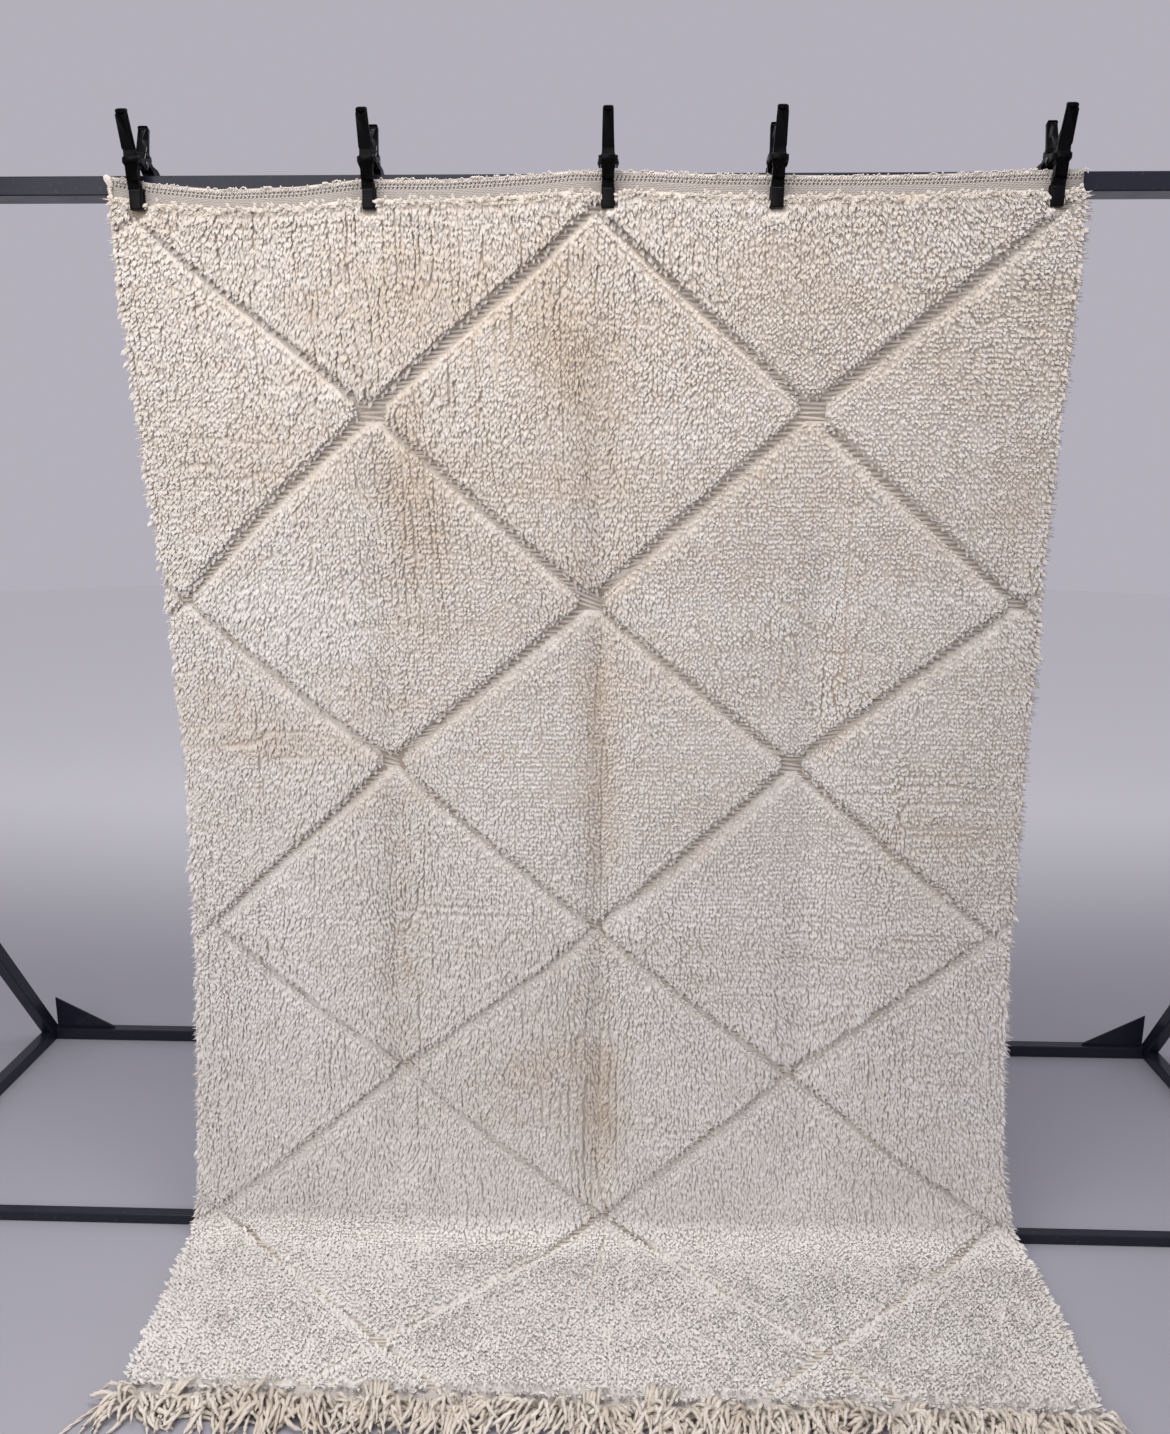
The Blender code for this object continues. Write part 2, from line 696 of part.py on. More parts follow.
def hole_cutter(name, radius, length, place, along, collection):
    """A round cutter along x or across an arm."""
    bm = bmesh.new()
    bmesh.ops.create_cone(bm, cap_ends=True, segments=8, radius1=radius, radius2=radius,
                          depth=length)
    turn = Vector((0.0, 0.0, 1.0)).rotation_difference(Vector(along)).to_matrix().to_4x4()
    bm.transform(Matrix.Translation(place) @ turn)
    ob = bpy.data.objects.new(name, mesh_from(bm, name))
    collection.objects.link(ob)
    return ob


def between_rows(upper, lower, part):
    """A row part of the way from one spine row to the next."""
    return tuple(a + (b - a) * part for a, b in zip(upper, lower))


def make_arm_mesh(name, spine, ear_inner, towards, material, collection):
    """One arm: narrow handle, wide shoulder with two ears on the pin, and jaw."""
    upper, lower = spine[SHOULDER_AT], spine[SHOULDER_AT + 1]
    handle_rows = spine[:SHOULDER_AT + 1] + (between_rows(upper, lower, 0.6),)
    jaw_rows = (between_rows(upper, lower, 0.4),) + spine[SHOULDER_AT + 1:]
    block_rows = tuple((y, z, half + SHOULDER_EXTRA) for y, z, half in (upper, lower))
    ear_outer = ear_inner + EAR_THICKNESS
    handle = flat_piece(name + "_handle", arm_outline(handle_rows), 2.0 * HANDLE_HALF_WIDTH,
                        0.0, material, collection)
    jaw = flat_piece(name + "_jaw", arm_outline(jaw_rows), 2.0 * JAW_HALF_WIDTH,
                     0.0, material, collection)
    block = flat_piece(name + "_shoulder", arm_outline(block_rows),
                       2.0 * (ear_outer - SHOULDER_EXTRA), 0.0, material, collection)
    ears = []
    root_top, root_bottom = (between_rows(upper, lower, part)[:2] for part in (0.12, 0.88))
    for sign in (-1.0, 1.0):
        outline = ear_outline(root_top, root_bottom, towards)
        ears.append(flat_piece(name + "_ear", outline, EAR_THICKNESS,
                               sign * (ear_inner + EAR_THICKNESS / 2.0), material, collection))
    bore = hole_cutter(name + "_bore", PIN_RADIUS + GAP, 0.1, (0.0, PIN_Y, PIN_Z),
                       (1.0, 0.0, 0.0), collection)
    tip = Vector(spine[1][:2])
    down = (Vector(spine[2][:2]) - tip).normalized()
    hang = hole_cutter(name + "_hang_hole", HANG_HOLE, 0.04, (0.0, *(tip + down * 0.002)),
                       (0.0, down.y, -down.x), collection)
    mesh = join_and_drill(block, [handle, jaw] + ears, [bore, hang])
    mesh.name = name
    return mesh


def make_pin_mesh():
    """A riveted pin, turned about x."""
    outside = FRONT_EAR + EAR_THICKNESS + GAP
    head = outside + 0.0014
    profile = ((0.0, -head), (PIN_HEAD, -head), (PIN_HEAD, -outside), (PIN_RADIUS, -outside),
               (PIN_RADIUS, outside), (PIN_HEAD, outside), (PIN_HEAD, head), (0.0, head))
    bm = bmesh.new()
    verts = [bm.verts.new((x, radius, 0.0)) for radius, x in profile]
    for first, second in zip(verts, verts[1:]):
        bm.edges.new((first, second))
    bmesh.ops.spin(bm, geom=bm.verts[:] + bm.edges[:], cent=(0.0, 0.0, 0.0),
                   axis=(1.0, 0.0, 0.0), angle=2.0 * math.pi, steps=8, use_merge=True)
    bmesh.ops.remove_doubles(bm, verts=bm.verts[:], dist=1e-6)
    bmesh.ops.recalc_face_normals(bm, faces=bm.faces[:])
    return mesh_from(bm, "clamp_pin")


def make_spring_mesh():
    """The closed coils of the spring, as a sleeve round the pin."""
    inner = PIN_RADIUS + GAP
    outer = 0.0062
    half = BACK_EAR - GAP
    bm = bmesh.new()
    corners = [bm.verts.new((x, radius, 0.0)) for x, radius in
               ((-half, inner), (-half, outer), (half, outer), (half, inner))]
    for first, second in zip(corners, corners[1:] + corners[:1]):
        bm.edges.new((first, second))
    bmesh.ops.spin(bm, geom=bm.verts[:] + bm.edges[:], cent=(0.0, 0.0, 0.0),
                   axis=(1.0, 0.0, 0.0), angle=2.0 * math.pi, steps=10, use_merge=True)
    bmesh.ops.remove_doubles(bm, verts=bm.verts[:], dist=1e-6)
    bmesh.ops.recalc_face_normals(bm, faces=bm.faces[:])
    return mesh_from(bm, "clamp_spring")


def make_pad_mesh(name, low_y, high_y):
    """A swivel pad: a flat block with chamfered edges."""
    bm = bmesh.new()
    bmesh.ops.create_cube(bm, size=1.0)
    bmesh.ops.scale(bm, vec=(PAD_WIDTH, high_y - low_y, PAD_TOP - PAD_BOTTOM), verts=bm.verts[:])
    centre = Vector((0.0, (low_y + high_y) / 2.0, (PAD_TOP + PAD_BOTTOM) / 2.0))
    bmesh.ops.translate(bm, vec=centre, verts=bm.verts[:])
    upright = [edge for edge in bm.edges
               if abs(edge.verts[0].co.y - edge.verts[1].co.y) > 1e-4]
    bmesh.ops.bevel(bm, geom=upright, offset=0.004, segments=1, profile=0.5, affect="EDGES",
                    material=-1)
    return mesh_from(bm, name)


def make_clamps(nylon, rubber, steel, collection):
    """Five spring clamps: two arms, pin, spring and two pads in each."""
    front_arm = make_arm_mesh("clamp_front_arm", FRONT_ARM, FRONT_EAR, 1.0, nylon, collection)
    back_arm = make_arm_mesh("clamp_back_arm", BACK_ARM, BACK_EAR, -1.0, nylon, collection)
    pin = make_pin_mesh()
    spring = make_spring_mesh()
    rug_face = HANG_BACK - RUG_AT_PAD - GAP
    front_pad = make_pad_mesh("clamp_front_pad", rug_face - PAD_THICKNESS, rug_face)
    rail_face = RAIL_DEPTH / 2.0 + GAP
    back_pad = make_pad_mesh("clamp_back_pad", rail_face, rail_face + PAD_THICKNESS)
    for number, clamp_x in enumerate(CLAMP_X, start=1):
        label = "clamp_%d_" % number
        place = (clamp_x, 0.0, 0.0)
        on_pin = (clamp_x, PIN_Y, PIN_Z)
        add_object(label + "front_arm", front_arm, nylon, collection, place)
        add_object(label + "back_arm", back_arm, nylon, collection, place)
        add_object(label + "front_pad", front_pad, rubber, collection, place)
        add_object(label + "back_pad", back_pad, rubber, collection, place)
        add_object(label + "pin", pin, steel, collection, on_pin)
        add_object(label + "spring", spring, steel, collection, on_pin)


def main():
    """Build every piece."""
    clear_objects()
    collection = new_collection("Rug on a hanging stand")
    paint = make_material("Black painted steel", BLACK_PAINT, 0.35)
    nylon = make_material("Black nylon", BLACK_NYLON, 0.45)
    rubber = make_material("Black rubber", BLACK_RUBBER, 0.70)
    steel = make_material("Steel", STEEL, 0.35, 1.0)
    wool = make_material("Wool pile", WOOL, 0.95)
    yarn = make_material("Fringe yarn", FRINGE_YARN, 0.90)
    make_stand(paint, collection)
    make_rug(wool, collection)
    make_fringe(yarn, collection)
    make_clamps(nylon, rubber, steel, collection)


main()
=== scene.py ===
"""Looks of a hand-knotted wool rug that hangs from a steel stand by spring clamps.

Metres, +Z up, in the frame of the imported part: +X to the right as the pile is seen, +Y to
the back. The rug is laid out flat first, u metres across from its left edge and s metres
down from its top edge, and every knot, thread and stitch is then put on the hung cloth.
"""

import math

import bmesh
import bpy
import numpy as np
from mathutils import Matrix, Vector, noise


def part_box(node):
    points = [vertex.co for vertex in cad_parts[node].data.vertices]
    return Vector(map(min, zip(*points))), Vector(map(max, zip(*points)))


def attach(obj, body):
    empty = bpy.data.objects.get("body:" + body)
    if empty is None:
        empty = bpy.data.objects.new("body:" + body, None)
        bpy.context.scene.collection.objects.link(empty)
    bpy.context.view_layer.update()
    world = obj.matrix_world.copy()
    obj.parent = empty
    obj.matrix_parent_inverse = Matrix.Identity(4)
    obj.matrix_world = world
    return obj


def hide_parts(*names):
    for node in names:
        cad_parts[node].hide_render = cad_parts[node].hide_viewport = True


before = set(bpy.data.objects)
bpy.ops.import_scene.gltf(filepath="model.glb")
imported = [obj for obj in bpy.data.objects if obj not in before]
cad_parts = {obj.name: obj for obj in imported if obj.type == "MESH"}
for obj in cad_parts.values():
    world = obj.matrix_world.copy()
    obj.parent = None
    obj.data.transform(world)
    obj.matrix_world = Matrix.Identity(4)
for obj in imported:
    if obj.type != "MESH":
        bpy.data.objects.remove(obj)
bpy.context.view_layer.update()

bl_info = {
    "name": "Rug on a hanging stand",
    "version": (1, 0, 0),
    "blender": (4, 5, 0),
    "location": "3D View > Sidebar > Rug",
    "description": "Pile, weave, fringe, clamps and finishes of a hand-knotted wool rug",
    "category": "Object",
}

BODY = "root"
CLAMP_COUNT = 5

# The rug's hang, as in the part ------------------------------------------------------
RUG_WIDTH = 1.62
RUG_LENGTH = 2.356
HANG_TOP = 1.968
HANG_BACK = -0.032           # back of the cloth
BEND_RADIUS = 0.075
PILE_START = 0.031
PILE_END = 2.322
PANEL_SWELL = 0.007
# rows of small holes below the top edge, where shade is painted into the ground
STITCH_ROWS = (0.0086, 0.0132)
STITCH_PITCH = 0.0068
HOLE_HALF_HEIGHT = 0.0018
HOLE_SLANT = 0.016           # drop in which a hole's slant crosses one pitch
HOLE_SHARE = 0.42            # share of the pitch that is hole
SAG_REACH = 0.30             # below this distance from the top no sag is left

EDGES = (                    # distance from the top, left edge x, right edge x
    (0.00, -0.777, 0.795),
    (0.17, -0.771, 0.796),
    (0.49, -0.747, 0.783),
    (0.70, -0.728, 0.781),
    (0.97, -0.717, 0.778),
    (1.26, -0.722, 0.779),
    (1.56, -0.736, 0.789),
    (1.77, -0.751, 0.806),
    (1.90, -0.762, 0.832),
    (2.00, -0.770, 0.862),
    (2.20, -0.757, 0.862),
    (2.36, -0.745, 0.855),
)
TOP_SAG = (                  # x, drop of the top edge
    (-0.777, 0.002),
    (-0.700, 0.014),
    (-0.595, 0.023),
    (-0.467, 0.019),
    (-0.367, 0.008),
    (-0.226, 0.009),
    (-0.081, 0.002),
    (-0.017, -0.004),
    (0.096, -0.002),
    (0.200, 0.003),
    (0.433, 0.006),
    (0.578, 0.004),
    (0.690, 0.000),
    (0.795, -0.002),
)
CREASES = (                  # place across, start, end, depth, half width
    (0.415, 0.26, 2.30, 0.014, 0.034),
    (0.818, 0.06, 2.30, 0.013, 0.032),
    (1.215, 0.50, 1.90, 0.005, 0.036),
)

# The lattice -------------------------------------------------------------------------
CROSSINGS = (                # distance from the top, shift to the right, bare half width
    (0.055, 0.000, 0.011),
    (0.370, -0.012, 0.028),
    (0.690, -0.021, 0.026),
    (0.979, -0.024, 0.023),
    (1.295, -0.011, 0.015),
    (1.581, -0.008, 0.012),
    (1.895, 0.000, 0.010),
    (2.226, -0.018, 0.014),
)
LINE_WIDTHS = (              # distance from the top, share for rising and for falling lines
    (0.00, 0.36, 0.26),
    (0.10, 0.62, 0.38),
    (0.17, 0.80, 0.46),
    (0.37, 0.84, 0.50),
    (0.45, 0.66, 0.60),
    (0.69, 0.80, 0.58),
    (0.98, 0.72, 0.54),
    (1.30, 0.55, 0.47),
    (1.60, 0.50, 0.45),
    (1.85, 0.52, 0.48),
    (2.00, 0.64, 0.58),
    (2.30, 0.68, 0.60),
)
FIRST_CROSSING = 0.040
HALF_DIAMOND = 0.3875
HALF_DIAMOND_HEIGHT = 0.310
DIAGONAL = math.hypot(HALF_DIAMOND, HALF_DIAMOND_HEIGHT)

# Spots of yellowed wool and of painted shade along the creases (above 0), and paler spots (below 0)
# ---
YELLOWED_AND_CREASE_SHADE = (                 # place across and down, reach across and down, amount
    (0.52, 0.16, 0.16, 0.08, 0.8),
    (0.48, 0.52, 0.05, 0.20, 0.9),
    (0.80, 0.33, 0.08, 0.14, 0.8),
    (0.74, 0.22, 0.07, 0.14, 0.7),
    (1.11, 0.15, 0.16, 0.07, 0.7),
    (1.50, 1.22, 0.12, 0.04, 0.6),
    (0.81, 0.97, 0.035, 0.30, 1.1),
    (0.82, 1.66, 0.045, 0.17, 1.5),
    (0.72, 1.55, 0.10, 0.06, 0.7),
    (0.60, 1.62, 0.15, 0.10, 0.4),
    (1.46, 1.10, 0.12, 0.08, 0.6),
    (0.19, 0.45, 0.12, 0.04, 0.5),
    (0.16, 0.93, 0.10, 0.03, 0.5),
    (0.41, 1.45, 0.05, 0.35, 0.5),
    (1.55, 0.50, 0.06, 0.10, 0.4),
    (0.09, 0.07, 0.08, 0.03, 0.4),
    (0.24, 0.72, 0.12, 0.10, -0.5),
    (0.62, 1.05, 0.12, 0.12, -0.5),
    (0.56, 1.85, 0.22, 0.12, -0.6),
    (1.15, 1.85, 0.25, 0.12, -0.6),
    (0.20, 1.25, 0.08, 0.20, -0.3),
    (0.81, 2.20, 0.90, 0.20, -0.5),
)
DROOPING = (                 # where the pile hangs most, and how much
    (0.30, 0.15, 0.40, 0.20, 0.9),
    (0.50, 0.30, 0.30, 0.30, 0.6),
    (0.20, 0.70, 0.20, 0.30, 0.4),
    (0.95, 0.10, 0.60, 0.10, 0.7),
    (0.80, 0.55, 0.12, 0.30, 0.5),
    (1.40, 0.70, 0.30, 0.60, -0.4),
    (1.15, 1.10, 0.20, 0.40, -0.3),
)
UPRIGHT_CRACKS = (           # where the pile parts along its files, and how much
    (0.48, 0.52, 0.07, 0.22, 0.9),
    (0.44, 1.45, 0.05, 0.45, 0.9),
    (0.76, 0.20, 0.08, 0.14, 0.8),
    (0.81, 0.95, 0.045, 0.28, 1.0),
    (0.80, 1.62, 0.06, 0.22, 1.0),
    (0.80, 2.10, 0.06, 0.25, 0.9),
    (0.42, 2.05, 0.05, 0.20, 0.6),
    (0.30, 0.15, 0.14, 0.07, 0.5),
    (1.00, 1.05, 0.03, 0.12, 0.3),
)
LEVEL_CRACKS = (             # where the pile parts along its rows, and how much
    (0.19, 0.45, 0.14, 0.05, 0.9),
    (0.16, 0.93, 0.14, 0.05, 0.9),
    (0.50, 1.27, 0.12, 0.04, 0.8),
    (1.44, 1.05, 0.16, 0.10, 0.9),
    (1.45, 1.30, 0.14, 0.04, 0.5),
    (1.10, 0.50, 0.10, 0.06, 0.4),
    (0.95, 1.02, 0.20, 0.05, 0.4),
    (0.98, 1.68, 0.10, 0.03, 0.6),
    (0.22, 1.68, 0.12, 0.04, 0.4),
    (1.30, 2.10, 0.14, 0.04, 0.5),
)

# The clamps, as in the part --------------------------------------------------------------
FRONT_ARM = (                # y, z and half thickness, from the handle to the jaw
    (-0.0835, 2.0540, 0.0045),
    (-0.0812, 2.0480, 0.0060),
    (-0.0610, 2.0000, 0.0060),
    (-0.0545, 1.9800, 0.0070),
    (-0.0520, 1.9560, 0.0065),
    (-0.0486, 1.9420, 0.0060),
    (-0.0486, 1.9110, 0.0060),
)
BACK_ARM = (
    (0.0035, 2.0500, 0.0045),
    (0.0010, 2.0440, 0.0060),
    (-0.0110, 2.0080, 0.0060),
    (-0.0060, 1.9930, 0.0055),
    (0.0080, 1.9845, 0.0058),
    (0.0240, 1.9825, 0.0060),
    (0.0410, 1.9730, 0.0060),
    (0.0450, 1.9590, 0.0060),
    (0.0416, 1.9440, 0.0060),
    (0.0416, 1.9110, 0.0060),
)
SHOULDER_AT = 2              # row above each arm's wide shoulder
PIN_Y = -0.034
PIN_Z = 1.984
PIN_RADIUS = 0.003
HANDLE_HALF_WIDTHS = (0.0082, 0.0086, 0.0098, 0.0104)
JAW_HALF_WIDTHS = (0.0104, 0.0100, 0.0098, 0.0098, 0.0100, 0.0103)
BLOCK_HALF_WIDTH = 0.0114
EAR_THICKNESS = 0.0030
FRONT_EAR = 0.0125           # inner face of the front arm's ears
BACK_EAR = 0.0089            # inner face of the back arm's ears
EAR_RADIUS = 0.0085
HANG_HOLE = 0.0024
GRIP_BARS = (0.0035, 0.0075, 0.0115)     # heights on the jaw's tip
PAD_RIBS = 6
SPRING_TURNS = 9

# The cloth and its pile --------------------------------------------------------------
CLOTH_COLUMNS = 72
CLOTH_ROWS = 120
BED_COLUMNS = 200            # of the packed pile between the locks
BED_ROWS = 280
BED_SHARE = 0.75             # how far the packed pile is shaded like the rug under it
LAY_SHARE = 0.74             # the same for the locks
PILE_PIECES = 4
LOCKS = (                    # sides, curl and bloom of each kind of lock
    (3, 0.10, 0.62),
    (3, 0.20, 0.55),
    (3, 0.02, 0.70),
    (3, 0.26, 0.64),
)
EDGE_TRIES = 150000          # random places, of which the ones along edges are kept
RIM_LOCKS = (0.030, 2.30, 0.0042)        # first and last place down a side, and pitch
RIM_SIDES = (-1.0, -1.0, 1.0, 1.0)       # two files of rim locks a side

# The hem and the fringe --------------------------------------------------------------
HEM_STITCHES = (             # distance from the top, slant, length and width
    (0.0109, 1.30, 0.0030, 0.0016),
    (0.0056, 1.15, 0.0048, 0.0022),
)
HEM_STITCH_PITCH = 0.0042
HEM_ROLL_TWIST = 0.030       # length of one turn of the rolled edge
CORNER_ROLL = 0.17           # length of the rolled side below the top left corner
CORNER_TWIST = 0.040         # length of one turn of it
TUFT_STRANDS = 9
LOOSE_THREADS = (            # place across and down, reach, rise, width
    (0.012, 0.006, 0.010, 0.006, 0.0018),
    (0.018, 0.010, 0.005, 0.006, 0.0014),
    (1.616, 0.008, 0.006, 0.009, 0.0022),
    (1.610, 0.004, 0.012, 0.005, 0.0013),
)
FUZZ_THREADS = 230
FRINGE_BUNDLES = 212
FRINGE_LAYERS = 4
THROWN_BACK = (              # share of the way across, strands, reach back, slant
    (0.05, 7, 0.026, 0.5),
    (0.12, 8, 0.026, 1.1),
    (0.27, 9, 0.036, -0.4),
    (0.483, 7, 0.026, 0.3),
    (0.545, 9, 0.040, 0.5),
    (0.60, 6, 0.020, 1.2),
    (0.80, 6, 0.014, 1.5),
    (0.34, 5, 0.010, -1.3),
)

# Colours that no setting changes -----------------------------------------------------
# painted shade: the colour of the small holes between the stitches below the top edge
HOLE_SHADE_COLOUR = (0.07, 0.055, 0.045)
BAND_GREY = (0.30, 0.29, 0.30)           # half of the colour of the flat-woven top band
DUST_COLOUR = (0.16, 0.155, 0.15)

# The view ----------------------------------------------------------------------------
CAMERA_PLACE = (0.0621, -1.9993, 1.5)
CAMERA_YAW = 0.03053         # turned to the left
CAMERA_PITCH = 0.2160        # tipped down
CAMERA_ROLL = 0.00297
CAMERA_LENS = 28.29
LIGHTS = (                   # name, place, aim, width and height, tint
    ("key", (-0.9, -2.4, 1.9), (-0.25, -0.4, 0.2), (2.2, 1.8), (1.0, 0.985, 0.97)),
    ("top", (-0.2, -0.9, 3.5), (-0.2, -0.6, 0.0), (2.6, 1.0), (1.0, 0.99, 0.98)),
    ("fill", (3.2, -3.0, 2.0), (0.0, 0.0, 1.0), (2.5, 2.5), (0.95, 0.97, 1.0)),
)
FLOOR_RADIUS = 14.0
FLOOR_DROP = 0.0005
FAR_FLOOR = (0.96, 0.96, 0.96)
FLOOR_FADE = (0.9, 3.2)      # where the floor starts to turn pale, and where it is


def middle_of(node):
    """Middle of a node's box."""
    low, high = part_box(node)
    return (low + high) / 2.0


CLAMP_X = [middle_of("clamp_%d_front_pad" % k).x for k in range(1, CLAMP_COUNT + 1)]
PAD_LOW, PAD_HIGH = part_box("clamp_1_front_pad")
PAD_HALF_WIDTH = (PAD_HIGH.x - PAD_LOW.x) / 2.0


# Settings ----------------------------------------------------------------------------
def length(name, description, default):
    """A size in metres."""
    return bpy.props.FloatProperty(name=name, description=description, default=default,
                                   min=0.0, unit="LENGTH", precision=4)


def colour(name, description, default):
    """A colour, as linear red, green and blue."""
    return bpy.props.FloatVectorProperty(name=name, description=description, default=default,
                                         size=3, min=0.0, max=1.0, subtype="COLOR")


class RugLook(bpy.types.PropertyGroup):
    """Pile, ground and fringe of the rug."""

    knot_pitch: length("Knot pitch", "Distance between two ends of yarn in a row", 0.0049)
    row_pitch: length("Row pitch", "Distance between two rows of knots", 0.0082)
    pile_height: length("Pile height", "Height of the pile above the ground", 0.0200)
    packed_height: length("Packed height", "Height up to which the pile is tight", 0.0140)
    lock_width: length("Lock width", "Width of a lock of pile", 0.0076)
    groove_half: length("Lattice line", "Half the width of the bare lattice lines", 0.0120)
    cloth_thickness: length("Cloth thickness", "Thickness of the woven ground", 0.0045)
    strand_length: length("Fringe length", "Length of the warp ends", 0.092)
    strand_width: length("Fringe yarn", "Width of one warp end", 0.0086)
    pile_tip: colour("Pile tip", "Wool at the cut ends", (0.885, 0.85, 0.805))
    # wool deep in the pile as it looks in shade; the painted shade of the pile and the lattice, and
    # the yellowed spots, darken towards it
    pile_root: colour("Pile root", "Wool deep in the pile", (0.68, 0.57, 0.45))
    ground: colour("Ground", "Woven ground", (0.60, 0.56, 0.53))
    weft: colour("Weft", "Bare wefts in the lattice lines", (0.74, 0.67, 0.59))
    yarn_light: colour("Fringe, light", "Light warp ends", (0.83, 0.765, 0.675))
    yarn_dark: colour("Fringe, dark", "Dark warp ends", (0.50, 0.405, 0.30))


class HardwareLook(bpy.types.PropertyGroup):
    """Finishes of the stand and the clamps."""

    edge_rounding: length("Edge rounding", "Rounding of the moulded and welded edges", 0.0008)
    spring_wire: length("Spring wire", "Thickness of the spring wire", 0.0014)
    paint: colour("Paint", "Paint of the stand", (0.012, 0.013, 0.024))
    nylon: colour("Nylon", "Moulded arms of the clamps", (0.0025, 0.0025, 0.003))
    rubber: colour("Rubber", "Pads of the clamps", (0.006, 0.006, 0.006))
    steel: colour("Steel", "Pins and springs", (0.10, 0.10, 0.11))


def power(name, description, default):
    """The strength of a light."""
    return bpy.props.FloatProperty(name=name, description=description, default=default, min=0.0)


class StageLook(bpy.types.PropertyGroup):
    """Floor and light."""

    floor: colour("Floor", "Plain floor", (0.37, 0.365, 0.405))
    sky: colour("Surroundings", "Colour of the room", (0.60, 0.58, 0.66))
    sky_strength: power("Room light", "Strength of the light from all round", 0.75)
    key_power: power("Key light", "Power of the main light", 35.0)
    top_power: power("Top light", "Power of the top light", 56.0)
    fill_power: power("Fill light", "Power of the soft light", 6.0)


# Numbers over the whole rug ------------------------------------------------------------
def column_of(table, column, places):
    """Read a column of a table at many places."""
    return np.interp(places, [row[0] for row in table], [row[column] for row in table])


def ramp(start, end, places):
    """A smooth 0 to 1 between two places."""
    part = np.clip((places - start) / (end - start), 0.0, 1.0)
    return part * part * (3.0 - 2.0 * part)


def patches(x, y, seed):
    """Smooth random values from -1 to 1, one bump for each unit of x and y."""
    left, low = np.floor(x), np.floor(y)
    across, up = x - left, y - low
    across = across * across * (3.0 - 2.0 * across)
    up = up * up * (3.0 - 2.0 * up)

    def corner(i, j):
        mixed = (i.astype(np.int64) * 374761393 + j.astype(np.int64) * 668265263
                 + seed * 362437) & 0x7FFFFFFF
        mixed = ((mixed ^ (mixed >> 13)) * 1274126177) & 0x7FFFFFFF
        return ((mixed ^ (mixed >> 16)) & 0xFFFF) / 32767.5 - 1.0

    bottom = corner(left, low) * (1.0 - across) + corner(left + 1.0, low) * across
    top = corner(left, low + 1.0) * (1.0 - across) + corner(left + 1.0, low + 1.0) * across
    return bottom * (1.0 - up) + top * up


def crease_depth(u, s):
    """Depth of the storage creases."""
    depth = np.zeros_like(u)
    for across, start, end, deep, half in CREASES:
        fade = ramp(start, start + 0.25, s) * (1.0 - ramp(end - 0.1, end, s))
        depth += deep * fade * np.exp(-((u - across) / half) ** 2)
    return depth


def fold(u, s):
    """How far the hanging cloth lies forward of its plane."""
    hanging = ramp(0.10, 0.55, s) * (1.0 - ramp(1.72, 1.90, s))
    first, second = CREASES[0][0], CREASES[1][0]
    panels = np.abs(np.sin(math.pi * (u - first) / (second - first)))
    sway = np.array([noise.noise(Vector((a * 2.0, b * 1.5, 4.0))) for a, b in zip(u, s)])
    return hanging * (PANEL_SWELL * panels - crease_depth(u, s) + 0.003 * sway)


def across_x(u, s):
    """Sideways place of a point of the rug."""
    left, right = column_of(EDGES, 1, s), column_of(EDGES, 2, s)
    return left + (right - left) * u / RUG_WIDTH


def across_u(x, s):
    """Place across the rug of a sideways place."""
    left, right = column_of(EDGES, 1, s), column_of(EDGES, 2, s)
    return (x - left) / (right - left) * RUG_WIDTH


def hang(s):
    """Place of the cloth's back, and the ways that its pile and its length point."""
    straight = HANG_TOP - BEND_RADIUS
    turn = np.clip((s - straight) / BEND_RADIUS, 0.0, math.pi / 2.0)
    beyond = np.maximum(s - straight - BEND_RADIUS * math.pi / 2.0, 0.0)
    y = HANG_BACK - BEND_RADIUS * (1.0 - np.cos(turn)) - beyond
    z = np.where(s < straight, HANG_TOP - s, BEND_RADIUS * (1.0 - np.sin(turn)))
    none = np.zeros_like(s)
    place = np.stack((none, y, z), axis=1)
    out = np.stack((none, -np.cos(turn), np.sin(turn)), axis=1)
    down = np.stack((none, -np.sin(turn), -np.cos(turn)), axis=1)
    return place, out, down


def rug_points(u, s, raised):
    """Points of the hung rug, raised so far from the back of the cloth."""
    place, out, _ = hang(s)
    x = across_x(u, s)
    sag = column_of(TOP_SAG, 1, x) * (1.0 - ramp(0.0, SAG_REACH, s))
    points = place + out * (raised + fold(u, s))[:, None]
    points[:, 0] += x
    points[:, 2] -= sag
    return points


def rug_point(u, s, raised):
    """One point of the hung rug."""
    return rug_points(np.array([u]), np.array([s]), np.array([raised]))[0]


def flat_places(bm):
    """Places across and down the rug of the vertices of a grid that reaches from -1 to 1."""
    corners = np.array([vert.co for vert in bm.verts])
    return (corners[:, 0] + 1.0) / 2.0 * RUG_WIDTH, (corners[:, 1] + 1.0) / 2.0 * RUG_LENGTH


def rug_ways(u, s):
    """At each place the ways out of the cloth, across it and down it."""
    step = 0.002
    slope_u = (fold(u + step, s) - fold(u - step, s)) / (2.0 * step)
    slope_s = (fold(u, s + step) - fold(u, s - step)) / (2.0 * step)
    _, out, down = hang(s)
    side = np.zeros_like(out)
    side[:, 0] = 1.0
    normal = unit(out - side * slope_u[:, None] - down * slope_s[:, None])
    return normal, side, down


def leaning(ways, out, across, down):
    """Ways that lean so much out of the cloth, across it and down it."""
    normal, side, along = ways
    return unit(normal * out[:, None] + side * across[:, None] + along * down[:, None])


def unit(vectors):
    """The same vectors, each 1 long."""
    return vectors / np.linalg.norm(vectors, axis=1)[:, None]


def of_crossing(column, rows):
    """Read a column of the crossings at places counted in crossing rows."""
    return np.interp(rows, range(len(CROSSINGS)), [row[column] for row in CROSSINGS])


